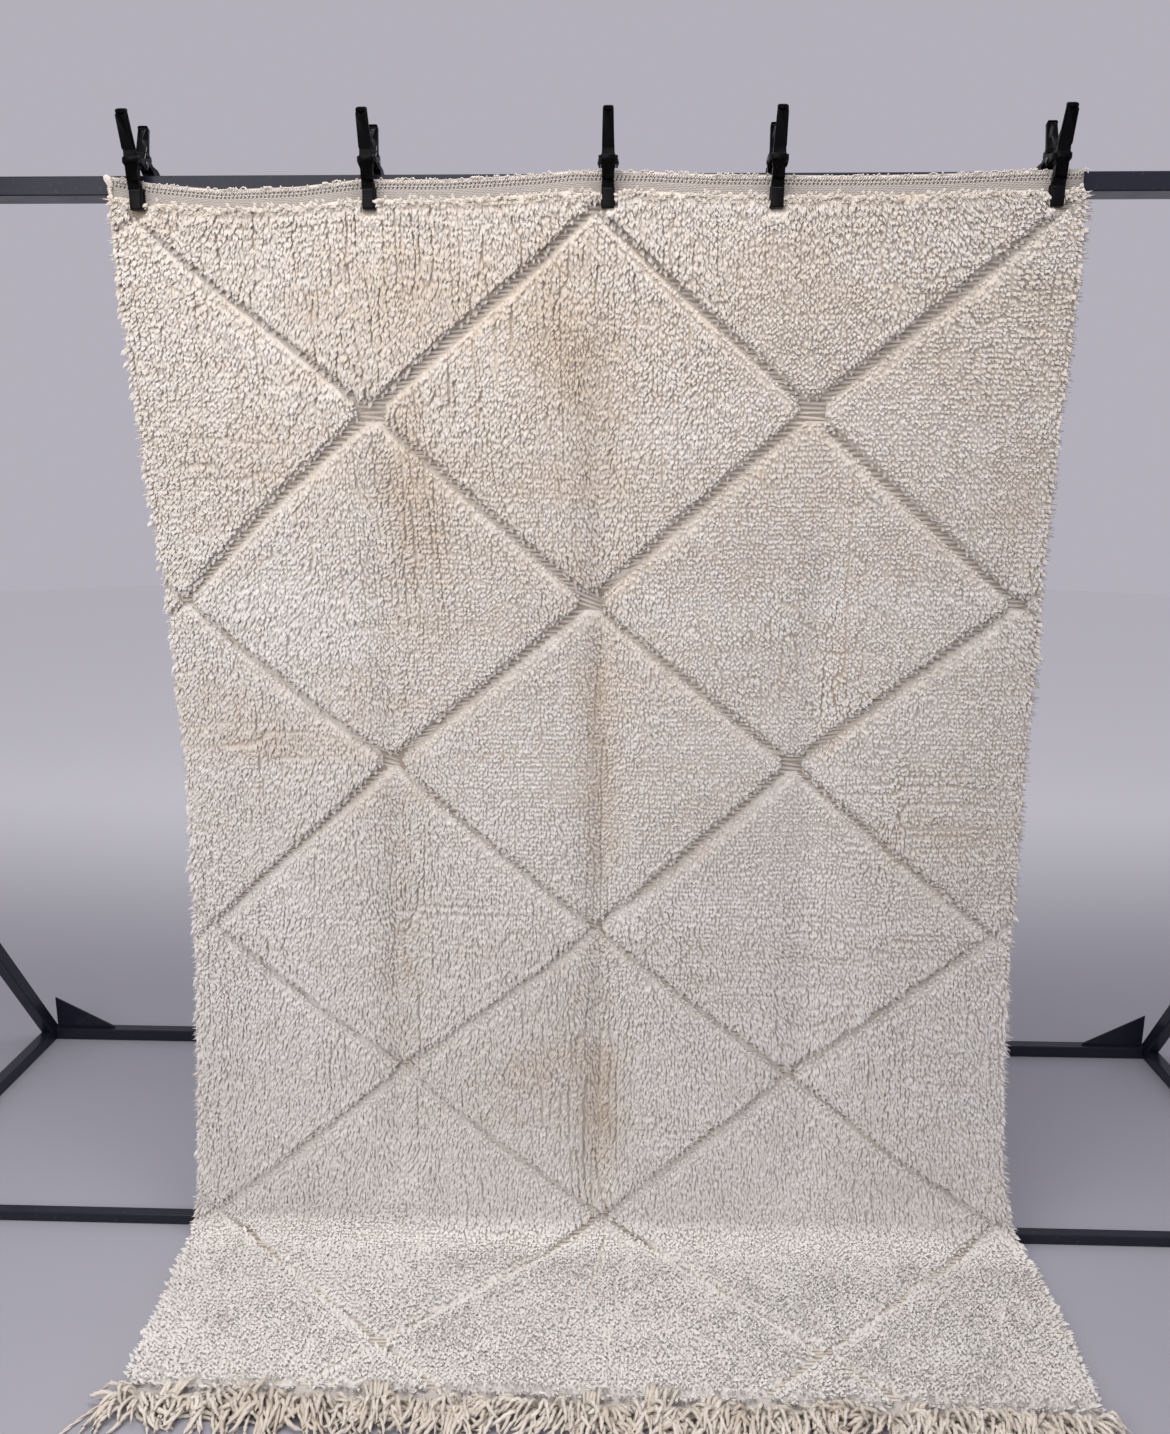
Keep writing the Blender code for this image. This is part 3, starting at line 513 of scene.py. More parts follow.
def lattice_place(u, s):
    """Places counted in half diamonds across and in crossing rows down."""
    tops = [row[0] for row in CROSSINGS]
    q = np.interp(s, tops, range(len(tops)))
    q += np.minimum(s - tops[0], 0.0) / (tops[1] - tops[0])
    q += np.maximum(s - tops[-1], 0.0) / (tops[-1] - tops[-2])
    shift = of_crossing(1, q) * (1.0 - np.abs(2.0 * u / RUG_WIDTH - 1.0) ** 8)
    return (u - shift - FIRST_CROSSING) / HALF_DIAMOND, q


def line_offsets(p, q):
    """Signed distances, in metres, to the nearest rising and falling lattice line."""
    scale = HALF_DIAMOND * HALF_DIAMOND_HEIGHT / DIAGONAL
    rising = ((p + q + 1.0) % 2.0 - 1.0) * scale
    falling = ((p - q + 1.0) % 2.0 - 1.0) * scale
    return rising, falling


def crossing_share(p, q):
    """Below 1 inside the bare patch where two lattice lines cross."""
    half_sum, half_difference = np.round((p + q) / 2.0), np.round((p - q) / 2.0)
    across = (p - half_sum - half_difference) * HALF_DIAMOND
    down = (q - half_sum + half_difference) * HALF_DIAMOND_HEIGHT
    row = np.clip(half_sum - half_difference, 0, len(CROSSINGS) - 1)
    bare = of_crossing(2, row)
    return np.hypot(across / bare, down / (bare * 0.80))


def bare_distance(u, s, look):
    """Distance from the bare lattice lines and crossings, below 0 where it is bare."""
    p, q = lattice_place(u, s)
    closing = 0.25 + 0.75 * ramp(0.015, 0.100, np.minimum(u, RUG_WIDTH - u))
    varied = look.groove_half * closing * (1.0 + 0.16 * patches(u * 7.0, s * 7.0, 31))
    rising, falling = line_offsets(p, q)
    from_rising = np.abs(rising) - varied * column_of(LINE_WIDTHS, 1, s)
    from_falling = np.abs(falling) - varied * column_of(LINE_WIDTHS, 2, s)
    from_crossing = (crossing_share(p, q) - 1.35 + 0.35 * closing) * 0.022 + (1.0 - closing) * 0.02
    return np.minimum(np.minimum(from_rising, from_falling), from_crossing)


# Small shapes and the meshes made of them ------------------------------------------------
def mesh_of(bm, name):
    """Turn a finished bmesh into a smooth mesh."""
    bmesh.ops.recalc_face_normals(bm, faces=bm.faces[:])
    mesh = bpy.data.meshes.new(name)
    bm.to_mesh(mesh)
    bm.free()
    return mesh


def smooth(mesh):
    """Shade a mesh smoothly."""
    mesh.polygons.foreach_set("use_smooth", [True] * len(mesh.polygons))
    mesh.update()


def new_piece(name, mesh, material, slot, *nodes):
    """Put a finished mesh in the scene as a piece that rides on the part."""
    mesh.name = name
    mesh.materials.clear()
    mesh.materials.append(material)
    ob = bpy.data.objects.new(name, mesh)
    bpy.context.scene.collection.objects.link(ob)
    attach(ob, BODY)
    if nodes:
        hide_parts(*nodes)
    return ob


def mark_heights(mesh):
    """Keep how high each point of a small shape is, from 0 at its root to 1 at its tip."""
    heights = np.empty(len(mesh.vertices) * 3)
    mesh.vertices.foreach_get("co", heights)
    tip = mesh.attributes.new("tip", "FLOAT", "POINT")
    tip.data.foreach_set("value", np.clip(heights[2::3], 0.0, 1.0))


def lock_shape(name, sides, curl, bloom):
    """A lock of cut pile, 1 high and 1 wide, widest near its cut end, that leans to +X."""
    bm = bmesh.new()
    bmesh.ops.create_cone(bm, cap_ends=True, segments=sides, radius1=0.5, radius2=0.0,
                          depth=1.0 - bloom)
    bmesh.ops.remove_doubles(bm, verts=bm.verts[:], dist=0.0001)
    bmesh.ops.translate(bm, vec=(0.0, 0.0, (1.0 + bloom) / 2.0), verts=bm.verts[:])
    under = [face for face in bm.faces if face.normal.z < -0.9]
    root = bmesh.ops.poke(bm, faces=under)["verts"]
    bmesh.ops.translate(bm, vec=(0.0, 0.0, -bloom), verts=root)
    for vert in bm.verts:
        vert.co.x += curl * vert.co.z ** 2
    mesh = mesh_of(bm, name)
    mark_heights(mesh)
    return mesh


def bar_shape(name, sides, waist):
    """A short round bar, 1 long along X, 1 wide and 1 high, for wefts and stitches."""
    bm = bmesh.new()
    bmesh.ops.create_cone(bm, cap_ends=True, segments=sides, radius1=0.5, radius2=0.5, depth=1.0)
    bmesh.ops.rotate(bm, matrix=Matrix.Rotation(math.pi / 2.0, 3, "Y"), verts=bm.verts[:])
    bmesh.ops.scale(bm, vec=(1.0, waist, waist), verts=bm.verts[:])
    around = [edge for edge in bm.edges if abs(edge.verts[0].co.x - edge.verts[1].co.x) > 0.5]
    cut = bmesh.ops.subdivide_edges(bm, edges=around, cuts=1)
    belt = [item for item in cut["geom_inner"] if isinstance(item, bmesh.types.BMVert)]
    bmesh.ops.scale(bm, vec=(1.0, 1.0 / waist, 1.0 / waist), verts=belt)
    mesh = mesh_of(bm, name)
    mark_heights(mesh)
    return mesh


def node_group(name):
    """The node group with a name, which is made when it isn't there yet."""
    return bpy.data.node_groups.get(name) or GROUP_MAKERS[name](name)


def new_group(name, kind, inputs, outputs):
    """A new group of nodes; returns it with its inputs and with its output node."""
    group = bpy.data.node_groups.new(name, kind)
    for label, socket_kind, default in inputs:
        socket = group.interface.new_socket(label, in_out="INPUT", socket_type=socket_kind)
        if default is not None:
            socket.default_value = default
    for label, socket_kind in outputs:
        group.interface.new_socket(label, in_out="OUTPUT", socket_type=socket_kind)
    return group, group.nodes.new("NodeGroupInput").outputs, group.nodes.new("NodeGroupOutput")


def set_inputs(tree, node, values):
    """Give a node's inputs their values, or link them to the sockets given instead."""
    for name, value in values.items():
        if isinstance(value, bpy.types.NodeSocket):
            tree.links.new(value, node.inputs[name])
        else:
            node.inputs[name].default_value = value


def add_node(tree, kind, values, **settings):
    """Add a node with its settings and its inputs; returns its first output that is in use."""
    node = tree.nodes.new(kind)
    for name, value in settings.items():
        setattr(node, name, value)
    set_inputs(tree, node, values)
    return next(socket for socket in node.outputs if socket.enabled)


def point_value(tree, name, kind):
    """Read a value that each point carries."""
    return add_node(tree, "GeometryNodeInputNamedAttribute", {"Name": name}, data_type=kind)


def planting_group(name):
    """Nodes that stand a chosen small shape on every point, turned and sized by the point."""
    group, given, done = new_group(
        name, "GeometryNodeTree",
        (("Points", "NodeSocketGeometry", None), ("Shapes", "NodeSocketCollection", None)),
        (("Mesh", "NodeSocketGeometry"),))
    shapes = add_node(group, "GeometryNodeCollectionInfo", {
        "Collection": given["Shapes"], "Separate Children": True, "Reset Children": True})
    spin = add_node(group, "ShaderNodeCombineXYZ", {"Z": point_value(group, "spin", "FLOAT")})
    turn = add_node(group, "FunctionNodeEulerToRotation", {0: spin})
    stand = add_node(group, "FunctionNodeAlignRotationToVector", {
        "Rotation": turn, "Vector": point_value(group, "way", "FLOAT_VECTOR")}, axis="Z")
    planted = add_node(group, "GeometryNodeInstanceOnPoints", {
        "Points": given["Points"], "Instance": shapes, "Pick Instance": True,
        "Instance Index": point_value(group, "kind", "INT"), "Rotation": stand,
        "Scale": point_value(group, "size", "FLOAT_VECTOR")})
    set_inputs(group, done, {0: add_node(group, "GeometryNodeRealizeInstances", {0: planted})})
    return group


def sweeping_group(name):
    """Nodes that draw a lobed, twisted section along every chain of points."""
    group, given, done = new_group(
        name, "GeometryNodeTree",
        (("Chains", "NodeSocketGeometry", None), ("Lobes", "NodeSocketInt", None),
         ("Waist", "NodeSocketFloat", None)),
        (("Mesh", "NodeSocketGeometry"),))
    chain = add_node(group, "GeometryNodeMeshToCurve", {0: given["Chains"]})
    twisted = add_node(group, "GeometryNodeSetCurveTilt", {
        "Curve": chain, "Tilt": point_value(group, "turn", "FLOAT")})
    section = add_node(group, "GeometryNodeCurveStar", {
        "Points": given["Lobes"], "Inner Radius": given["Waist"], "Outer Radius": 1.0})
    swept = add_node(group, "GeometryNodeCurveToMesh", {
        "Curve": twisted, "Profile Curve": section,
        "Scale": point_value(group, "width", "FLOAT"), "Fill Caps": True})
    set_inputs(group, done, {0: swept})
    return group


def carry(mesh, name, kind, values):
    """Give a mesh's points a named attribute."""
    layer = mesh.attributes.new(name, kind, "POINT")
    field = "vector" if kind == "FLOAT_VECTOR" else "value"
    layer.data.foreach_set(field, np.ascontiguousarray(values).ravel())


def applied(ob, *spare):
    """The mesh that an object's modifiers make; the object and spare ones are removed."""
    graph = bpy.context.evaluated_depsgraph_get()
    graph.update()
    made = bpy.data.meshes.new_from_object(ob.evaluated_get(graph))
    for used in (ob, *spare):
        bpy.data.objects.remove(used, do_unlink=True)
    return made


def evaluated_mesh(mesh, group_name, values):
    """Run a mesh through a group of geometry nodes, and return the new mesh."""
    holder = bpy.data.objects.new("holder", mesh)
    bpy.context.scene.collection.objects.link(holder)
    modifier = holder.modifiers.new("Nodes", "NODES")
    modifier.node_group = node_group(group_name)
    for item in modifier.node_group.interface.items_tree:
        if item.in_out == "INPUT" and item.name in values:
            modifier[item.identifier] = values[item.name]
    made = applied(holder)
    bpy.data.meshes.remove(mesh)
    return made


def plant(places, ways, sizes, spins, shades, kinds, shapes, lay=None):
    """Stand a small shape at each place and join them all into one mesh."""
    points = bpy.data.meshes.new("points")
    points.vertices.add(len(places))
    points.vertices.foreach_set("co", np.ascontiguousarray(places).ravel())
    carry(points, "way", "FLOAT_VECTOR", ways)
    carry(points, "size", "FLOAT_VECTOR", sizes)
    carry(points, "spin", "FLOAT", spins)
    carry(points, "shade", "FLOAT", shades)
    carry(points, "kind", "INT", kinds.astype(np.int32))
    if lay is not None:
        carry(points, "lay", "FLOAT_VECTOR", lay)
    collection = bpy.data.collections.new("Small shapes")
    holders = []
    for number, shape in enumerate(shapes):
        holder = bpy.data.objects.new("shape_%d" % number, shape)
        collection.objects.link(holder)
        holders.append(holder)
    mesh = evaluated_mesh(points, "Planting", {"Shapes": collection})
    for holder in holders:
        bpy.data.objects.remove(holder, do_unlink=True)
    bpy.data.collections.remove(collection)
    smooth(mesh)
    if lay is not None:
        soften_shading(mesh, LAY_SHARE)
    forget(mesh, ("way", "size", "spin", "kind", "lay"))
    return mesh


def soften_shading(mesh, share):
    """Turn the shading of each point part of the way to that of the rug under it."""
    count = len(mesh.vertices)
    own, lay = np.empty(count * 3, np.float32), np.empty(count * 3, np.float32)
    mesh.vertex_normals.foreach_get("vector", own)
    mesh.attributes["lay"].data.foreach_get("vector", lay)
    mixed_ways = unit((1.0 - share) * own.reshape(-1, 3) + share * lay.reshape(-1, 3))
    mesh.normals_split_custom_set_from_vertices(mixed_ways)


def forget(mesh, names):
    """Remove attributes that no material reads."""
    for name in names:
        layer = mesh.attributes.get(name)
        if layer:
            mesh.attributes.remove(layer)


def curve_through(points, count):
    """A smooth line of evenly numbered points through a few given ones."""
    points = np.asarray(points, float)
    ends = np.vstack((2.0 * points[0] - points[1], points, 2.0 * points[-1] - points[-2]))
    places = np.linspace(0.0, len(points) - 1.0 - 1e-9, count)
    k = places.astype(int)
    t = (places - k)[:, None]
    before, start, end, after = ends[k], ends[k + 1], ends[k + 2], ends[k + 3]
    return 0.5 * (2.0 * start + (end - before) * t
                  + (2.0 * before - 5.0 * start + 4.0 * end - after) * t ** 2
                  + (3.0 * start - before - 3.0 * end + after) * t ** 3)


def sweep(strands, lobes, waist):
    """Yarns, cords or wires as one mesh. A strand is its line, radii, turns and shade."""
    mesh = bpy.data.meshes.new("chains")
    lines = np.vstack([strand[0] for strand in strands])
    counts = [len(strand[0]) for strand in strands]
    starts = np.concatenate(([0], np.cumsum(counts)[:-1]))
    firsts = np.concatenate([np.arange(start, start + count - 1)
                             for start, count in zip(starts, counts)])
    mesh.vertices.add(len(lines))
    mesh.vertices.foreach_set("co", lines.ravel())
    mesh.edges.add(len(firsts))
    mesh.edges.foreach_set("vertices", np.stack((firsts, firsts + 1), axis=1).ravel())
    carry(mesh, "width", "FLOAT", np.concatenate([strand[1] for strand in strands]))
    carry(mesh, "turn", "FLOAT", np.concatenate([strand[2] for strand in strands]))
    carry(mesh, "shade", "FLOAT", np.repeat([strand[3] for strand in strands], counts))
    made = evaluated_mesh(mesh, "Sweeping", {"Lobes": lobes, "Waist": waist})
    forget(made, ("width", "turn"))
    smooth(made)
    return made


# Materials --------------------------------------------------------------------------------
def maths(operation, first, second=0.0):
    """A sum of a socket and a number, or of two sockets; returns its result."""
    tree = (first if isinstance(first, bpy.types.NodeSocket) else second).id_data
    return add_node(tree, "ShaderNodeMath", {0: first, 1: second}, operation=operation)


def plus(first, second):
    """Two sockets or numbers added up."""
    return maths("ADD", first, second)


def minus(first, second):
    """The first socket or number less the second."""
    return maths("SUBTRACT", first, second)


def times(first, second):
    """Two sockets or numbers multiplied."""
    return maths("MULTIPLY", first, second)


def mixed(factor, first, second):
    """A mix of two colours, each a socket or a colour; returns its result."""
    first, second = (value if isinstance(value, bpy.types.NodeSocket) else (*value, 1.0)
                     for value in (first, second))
    return add_node(factor.id_data, "ShaderNodeMix", {0: factor, 6: first, 7: second},
                    data_type="RGBA")


def in_range(value, start, end, low=0.0, high=1.0, **settings):
    """A value that goes from low to high while the given one goes from start to end."""
    return add_node(value.id_data, "ShaderNodeMapRange", {
        "Value": value, "From Min": start, "From Max": end, "To Min": low, "To Max": high},
        **settings)


def parts_of(vector):
    """The first and second part of a vector."""
    parts = add_node(vector.id_data, "ShaderNodeSeparateXYZ", {0: vector}).node
    return parts.outputs["X"], parts.outputs["Y"]


def noise_of(place, **values):
    """A noise texture at a place; returns its one value."""
    inputs = {name.capitalize(): value for name, value in values.items()}
    return add_node(place.id_data, "ShaderNodeTexNoise", {"Vector": place, **inputs})


def object_place(tree):
    """Places on the object itself."""
    return add_node(tree, "ShaderNodeTexCoord", {}).node.outputs["Object"]


def bumped(height, distance, **inputs):
    """The surface's direction over small bumps of a height."""
    return add_node(height.id_data, "ShaderNodeBump", {
        "Strength": 1.0, "Distance": distance, "Height": height, **inputs})


def wool_group(name):
    """Wool: darker and warmer at the root, where shade is painted, uneven in colour, with fine
    fibres.
    """
    group, given, done = new_group(
        name, "ShaderNodeTree",
        (("Light colour", "NodeSocketColor", (0.8, 0.8, 0.8, 1.0)),
         ("Dark colour", "NodeSocketColor", (0.5, 0.5, 0.5, 1.0)),
         ("Lightness", "NodeSocketFloat", 1.0),
         ("Fibre scale", "NodeSocketFloat", 900.0),
         ("Fibre depth", "NodeSocketFloat", 0.0006)),
        (("Colour", "NodeSocketColor"), ("Normal", "NodeSocketVector")))
    place = object_place(group)
    stretched = add_node(group, "ShaderNodeMapping", {"Vector": place, "Scale": (1.0, 1.0, 0.45)})
    fibres = noise_of(stretched, scale=given["Fibre scale"], detail=3.0, roughness=0.6)
    blots = noise_of(place, scale=60.0, detail=2.0)
    uneven = plus(times(minus(blots, 0.5), 0.5), times(minus(fibres, 0.5), 0.5))
    lightness = plus(given["Lightness"], uneven)
    lightness = maths("MINIMUM", maths("MAXIMUM", lightness, 0.0), 1.0)
    set_inputs(group, done, {
        "Colour": mixed(lightness, given["Dark colour"], given["Light colour"]),
        "Normal": bumped(fibres, given["Fibre depth"])})
    return group


def weave_group(name):
    """Plain weave from flat coordinates in metres."""
    group, given, done = new_group(
        name, "ShaderNodeTree",
        (("Flat", "NodeSocketVector", None),
         ("Warp pitch", "NodeSocketFloat", 0.004),
         ("Weft pitch", "NodeSocketFloat", 0.003)),
        (("Height", "NodeSocketFloat"),))
    across, along = parts_of(given["Flat"])
    warp = maths("DIVIDE", across, given["Warp pitch"])
    weft = maths("DIVIDE", along, given["Weft pitch"])
    stagger = times(maths("MODULO", maths("FLOOR", weft), 2.0), 0.5)
    turn = maths("FRACT", plus(times(warp, 0.5), stagger))
    over, thread = (maths("SINE", times(part, math.pi)) for part in (turn, maths("FRACT", weft)))
    set_inputs(group, done, {"Height": times(over, thread)})
    return group


def surface_group(name):
    """Fine grain and handling marks of a hard finish."""
    group, given, done = new_group(
        name, "ShaderNodeTree",
        (("Grain scale", "NodeSocketFloat", 400.0),
         ("Grain depth", "NodeSocketFloat", 0.0002),
         ("Roughness", "NodeSocketFloat", 0.4),
         ("Marks", "NodeSocketFloat", 0.15)),
        (("Roughness", "NodeSocketFloat"), ("Normal", "NodeSocketVector"),
         ("Dust", "NodeSocketFloat")))
    place = object_place(group)
    grain = noise_of(place, scale=given["Grain scale"], detail=2.0)
    smears = noise_of(place, scale=9.0, detail=5.0, roughness=0.65, distortion=0.6)
    specks = in_range(noise_of(place, scale=130.0, detail=4.0), 0.60, 0.78)
    marks = times(minus(smears, 0.5), given["Marks"])
    set_inputs(group, done, {
        "Roughness": plus(given["Roughness"], times(marks, 2.0)),
        "Normal": bumped(grain, given["Grain depth"]), "Dust": times(specks, smears)})
    return group


GROUP_MAKERS = {"Planting": planting_group, "Sweeping": sweeping_group,
                "Wool fibre": wool_group, "Plain weave": weave_group,
                "Handled finish": surface_group}


def new_material(name, values):
    """A material; returns it with its tree and its surface shader, which has these values."""
    material = bpy.data.materials.new(name)
    material.use_nodes = True
    shader = material.node_tree.nodes["Principled BSDF"]
    set_inputs(material.node_tree, shader, values)
    return material, material.node_tree, shader


def use_group(tree, name, values):
    """Place a node group in a material with its own values; returns its outputs."""
    node = tree.nodes.new("ShaderNodeGroup")
    node.node_tree = node_group(name)
    set_inputs(tree, node, values)
    return node.outputs


def carried(tree, name):
    """Read a value that the points of the mesh carry."""
    return add_node(tree, "ShaderNodeAttribute", {}, attribute_name=name).node.outputs["Fac"]


def wool_material(name, light, dark, fibre_scale, fibre_depth, tip_share, shade_share, base):
    """Wool whose lightness follows the height in the pile, as painted shade that deepens towards
    the roots, and the shade each point carries, which holds the lot of each lock with painted light
    and shade.
    """
    material, tree, shader = new_material(name, {
        "Roughness": 0.92, "Sheen Weight": 0.35, "Sheen Roughness": 0.5})
    lightness = plus(base, times(carried(tree, "shade"), shade_share))
    # painted shade: the lower in the pile, the darker the wool
    if tip_share:
        lightness = plus(lightness, times(carried(tree, "tip"), tip_share))
    wool = use_group(tree, "Wool fibre", {
        "Light colour": (*light, 1.0), "Dark colour": (*dark, 1.0), "Lightness": lightness,
        "Fibre scale": fibre_scale, "Fibre depth": fibre_depth})
    set_inputs(tree, shader, {"Base Color": wool["Colour"], "Normal": wool["Normal"]})
    return material


def off_line(value):
    """How far a sum of lattice places is from the nearest even number."""
    turn = times(maths("FRACT", maths("DIVIDE", plus(value, 1.0), 2.0)), 2.0)
    return maths("ABSOLUTE", minus(turn, 1.0))


def cloth_material(look):
    """The woven ground: plain weave in front, rows of knots behind, bare in the lattice."""
    material, tree, shader = new_material("Woven ground", {
        "Roughness": 0.95, "Sheen Weight": 0.2, "Sheen Roughness": 0.5})
    flat, lattice = (add_node(tree, "ShaderNodeUVMap", {}, uv_map=name)
                     for name in ("flat", "lattice"))
    p, q = parts_of(lattice)
    near = maths("MINIMUM", off_line(plus(p, q)), off_line(minus(p, q)))
    bare = in_range(near, 0.030, 0.052, 1.0, 0.0)
    weave, knots = (
        use_group(tree, "Plain weave", {"Flat": flat, "Warp pitch": warp, "Weft pitch": weft})[0]
        for warp, weft in ((0.0036, 0.0026), (look.knot_pitch / 2.0, look.row_pitch)))
    across, along = parts_of(flat)
    bands = maths("MAXIMUM", maths("LESS_THAN", along, PILE_START + 0.004),
                  maths("GREATER_THAN", along, PILE_END - 0.004))
    height = add_node(tree, "ShaderNodeMix", {0: maths("MAXIMUM", bare, bands), 2: knots,
                                              3: weave}, data_type="FLOAT")
    top_band = maths("LESS_THAN", along, PILE_START + 0.010)
    end_band = maths("GREATER_THAN", along, PILE_END - 0.010)
    base = minus(plus(0.45, times(end_band, 0.35)), times(top_band, 0.56))
    shaded = times(bare, minus(1.2, times(bands, 1.2)))
    wool = use_group(tree, "Wool fibre", {
        "Light colour": (*[min(1.0, part * 1.12) for part in look.ground], 1.0),
        "Dark colour": (*[part * 0.66 for part in look.pile_root], 1.0),
        "Lightness": minus(plus(base, times(height, 0.5)), shaded),
        "Fibre scale": 500.0, "Fibre depth": 0.0005})
    greyed = mixed(times(top_band, 0.5), wool["Colour"], BAND_GREY)
    set_inputs(tree, shader, {
        # painted shade in the holes between the stitches
        "Base Color": mixed(stitch_holes(across, along), greyed, HOLE_SHADE_COLOUR),
        "Normal": bumped(height, 0.0007, Normal=wool["Normal"])})
    return material


def stitch_holes(across, along):
    """1 in the short slanting holes of the two rows of stitches below the top edge, where shade is
    painted into the ground.
    """
    upper, lower = (maths("LESS_THAN", maths("ABSOLUTE", minus(along, place)), HOLE_HALF_HEIGHT)
                    for place in STITCH_ROWS)
    slanted = plus(maths("DIVIDE", across, STITCH_PITCH), maths("DIVIDE", along, HOLE_SLANT))
    dashes = maths("LESS_THAN", maths("FRACT", slanted), HOLE_SHARE)
    return times(maths("MAXIMUM", upper, lower), dashes)


def hard_material(name, base, roughness, grain_scale, grain_depth, marks, dust, values):
    """Paint, nylon, rubber or steel with its own grain, marks and a little dust."""
    material, tree, shader = new_material(name, values)
    finish = use_group(tree, "Handled finish", {
        "Grain scale": grain_scale, "Grain depth": grain_depth, "Roughness": roughness,
        "Marks": marks})
    set_inputs(tree, shader, {
        "Base Color": mixed(times(finish["Dust"], dust), tuple(base), DUST_COLOUR),
        "Roughness": finish["Roughness"], "Normal": finish["Normal"]})
    return material


# The rug ------------------------------------------------------------------------------------
def make_cloth(look):
    """The woven ground: a thin closed sheet on the rug's folds."""
    bm = bmesh.new()
    bmesh.ops.create_grid(bm, x_segments=CLOTH_COLUMNS, y_segments=CLOTH_ROWS, size=1.0)
    raised = bmesh.ops.extrude_face_region(bm, geom=bm.faces[:])["geom"]
    for vert in [item for item in raised if isinstance(item, bmesh.types.BMVert)]:
        vert.co.z = 1.0
    flat = bm.loops.layers.uv.new("flat")
    lattice = bm.loops.layers.uv.new("lattice")
    u, s = flat_places(bm)
    p, q = lattice_place(u, s)
    layers = np.array([vert.co.z for vert in bm.verts])
    points = rug_points(u, s, layers * look.cloth_thickness)
    for vert, point in zip(bm.verts, points):
        vert.co = point
    for face in bm.faces:
        for loop in face.loops:
            k = loop.vert.index
            loop[flat].uv = (u[k], s[k])
            loop[lattice].uv = (p[k], q[k])
    mesh = mesh_of(bm, "rug_cloth")
    smooth(mesh)
    return new_piece("rug_cloth", mesh, cloth_material(look), "wool_pile", "rug")


def parted(u, s, across, along, seed, reach):
    """Ways away from wandering lines where the pile parts, across and down, and how close."""
    step = 0.0005

    def value(a, b):
        return patches(a * across, b * along, seed)

    slope_u = (value(u + step, s) - value(u - step, s)) / (2.0 * step)
    slope_s = (value(u, s + step) - value(u, s - step)) / (2.0 * step)
    steep = np.hypot(slope_u, slope_s) + 1e-6
    here = value(u, s)
    near = np.exp(-(here / steep / reach) ** 2)
    away = np.sign(here) * near / steep
    return away * slope_u, away * slope_s, near


def knot_places(look):
    """Where every end of pile yarn stands, leaving the lattice lines bare."""
    rows = np.arange(PILE_START + 0.003, PILE_END, look.row_pitch)
    columns = np.arange(0.5 * look.knot_pitch, RUG_WIDTH, look.knot_pitch)
    s, u = (grid.ravel() for grid in np.meshgrid(rows, columns, indexing="ij"))
    rng = np.random.default_rng(3)
    pair = np.tile(np.arange(len(columns)) % 2, len(rows)) - 0.5
    loose = 0.55 + 0.45 * patches(u * 4.0, s * 4.0, 61)
    s = s + 0.0042 * pair * loose + rng.normal(0.0, 0.0009, len(s))
    s += 0.0025 * patches(u * 8.0, s * 10.0, 5)
    u = u + rng.normal(0.0, 0.0010, len(u))
    keep = bare_distance(u, s, look) > 0.0
    keep &= (u > 0.002) & (u < RUG_WIDTH - 0.002)
    keep &= ~under_pad(u, s, 0.0015)
    return u[keep], s[keep]


def edge_places(look, rng):
    """Places along the upper edge of the pile, and below each lattice line and pad."""
    u = np.repeat(np.arange(0.004, RUG_WIDTH - 0.003, 0.0046), 4)
    u = u + rng.normal(0.0, 0.0015, len(u))
    s = PILE_START - 0.001 + rng.uniform(0.0, 0.010, len(u))
    first = len(u)
    below_u = rng.uniform(0.004, RUG_WIDTH - 0.004, EDGE_TRIES)
    below_s = rng.uniform(PILE_START, PILE_END, EDGE_TRIES)
    bare = bare_distance(below_u, below_s, look)
    chosen = (bare < 0.006) & (bare_distance(below_u, below_s - 0.007, look) < 0.0)
    u, s = np.concatenate((u, below_u[chosen])), np.concatenate((s, below_s[chosen]))
    hanging = len(u)
    for clamp_x in CLAMP_X:
        beside = rng.uniform(-1.0, 1.0, 44) * (PAD_HALF_WIDTH + 0.005)
        u = np.concatenate((u, across_u(clamp_x, 0.055) + beside))
        s = np.concatenate((s, HANG_TOP - PAD_LOW.z + rng.uniform(0.002, 0.012, 44)))
    kinds = np.where(np.arange(len(u)) < first, 0, np.where(np.arange(len(u)) < hanging, 1, 2))
    keep = (bare_distance(u, s, look) > 0.0) & ~under_pad(u, s, 0.0005)
    return u[keep], s[keep], kinds[keep]


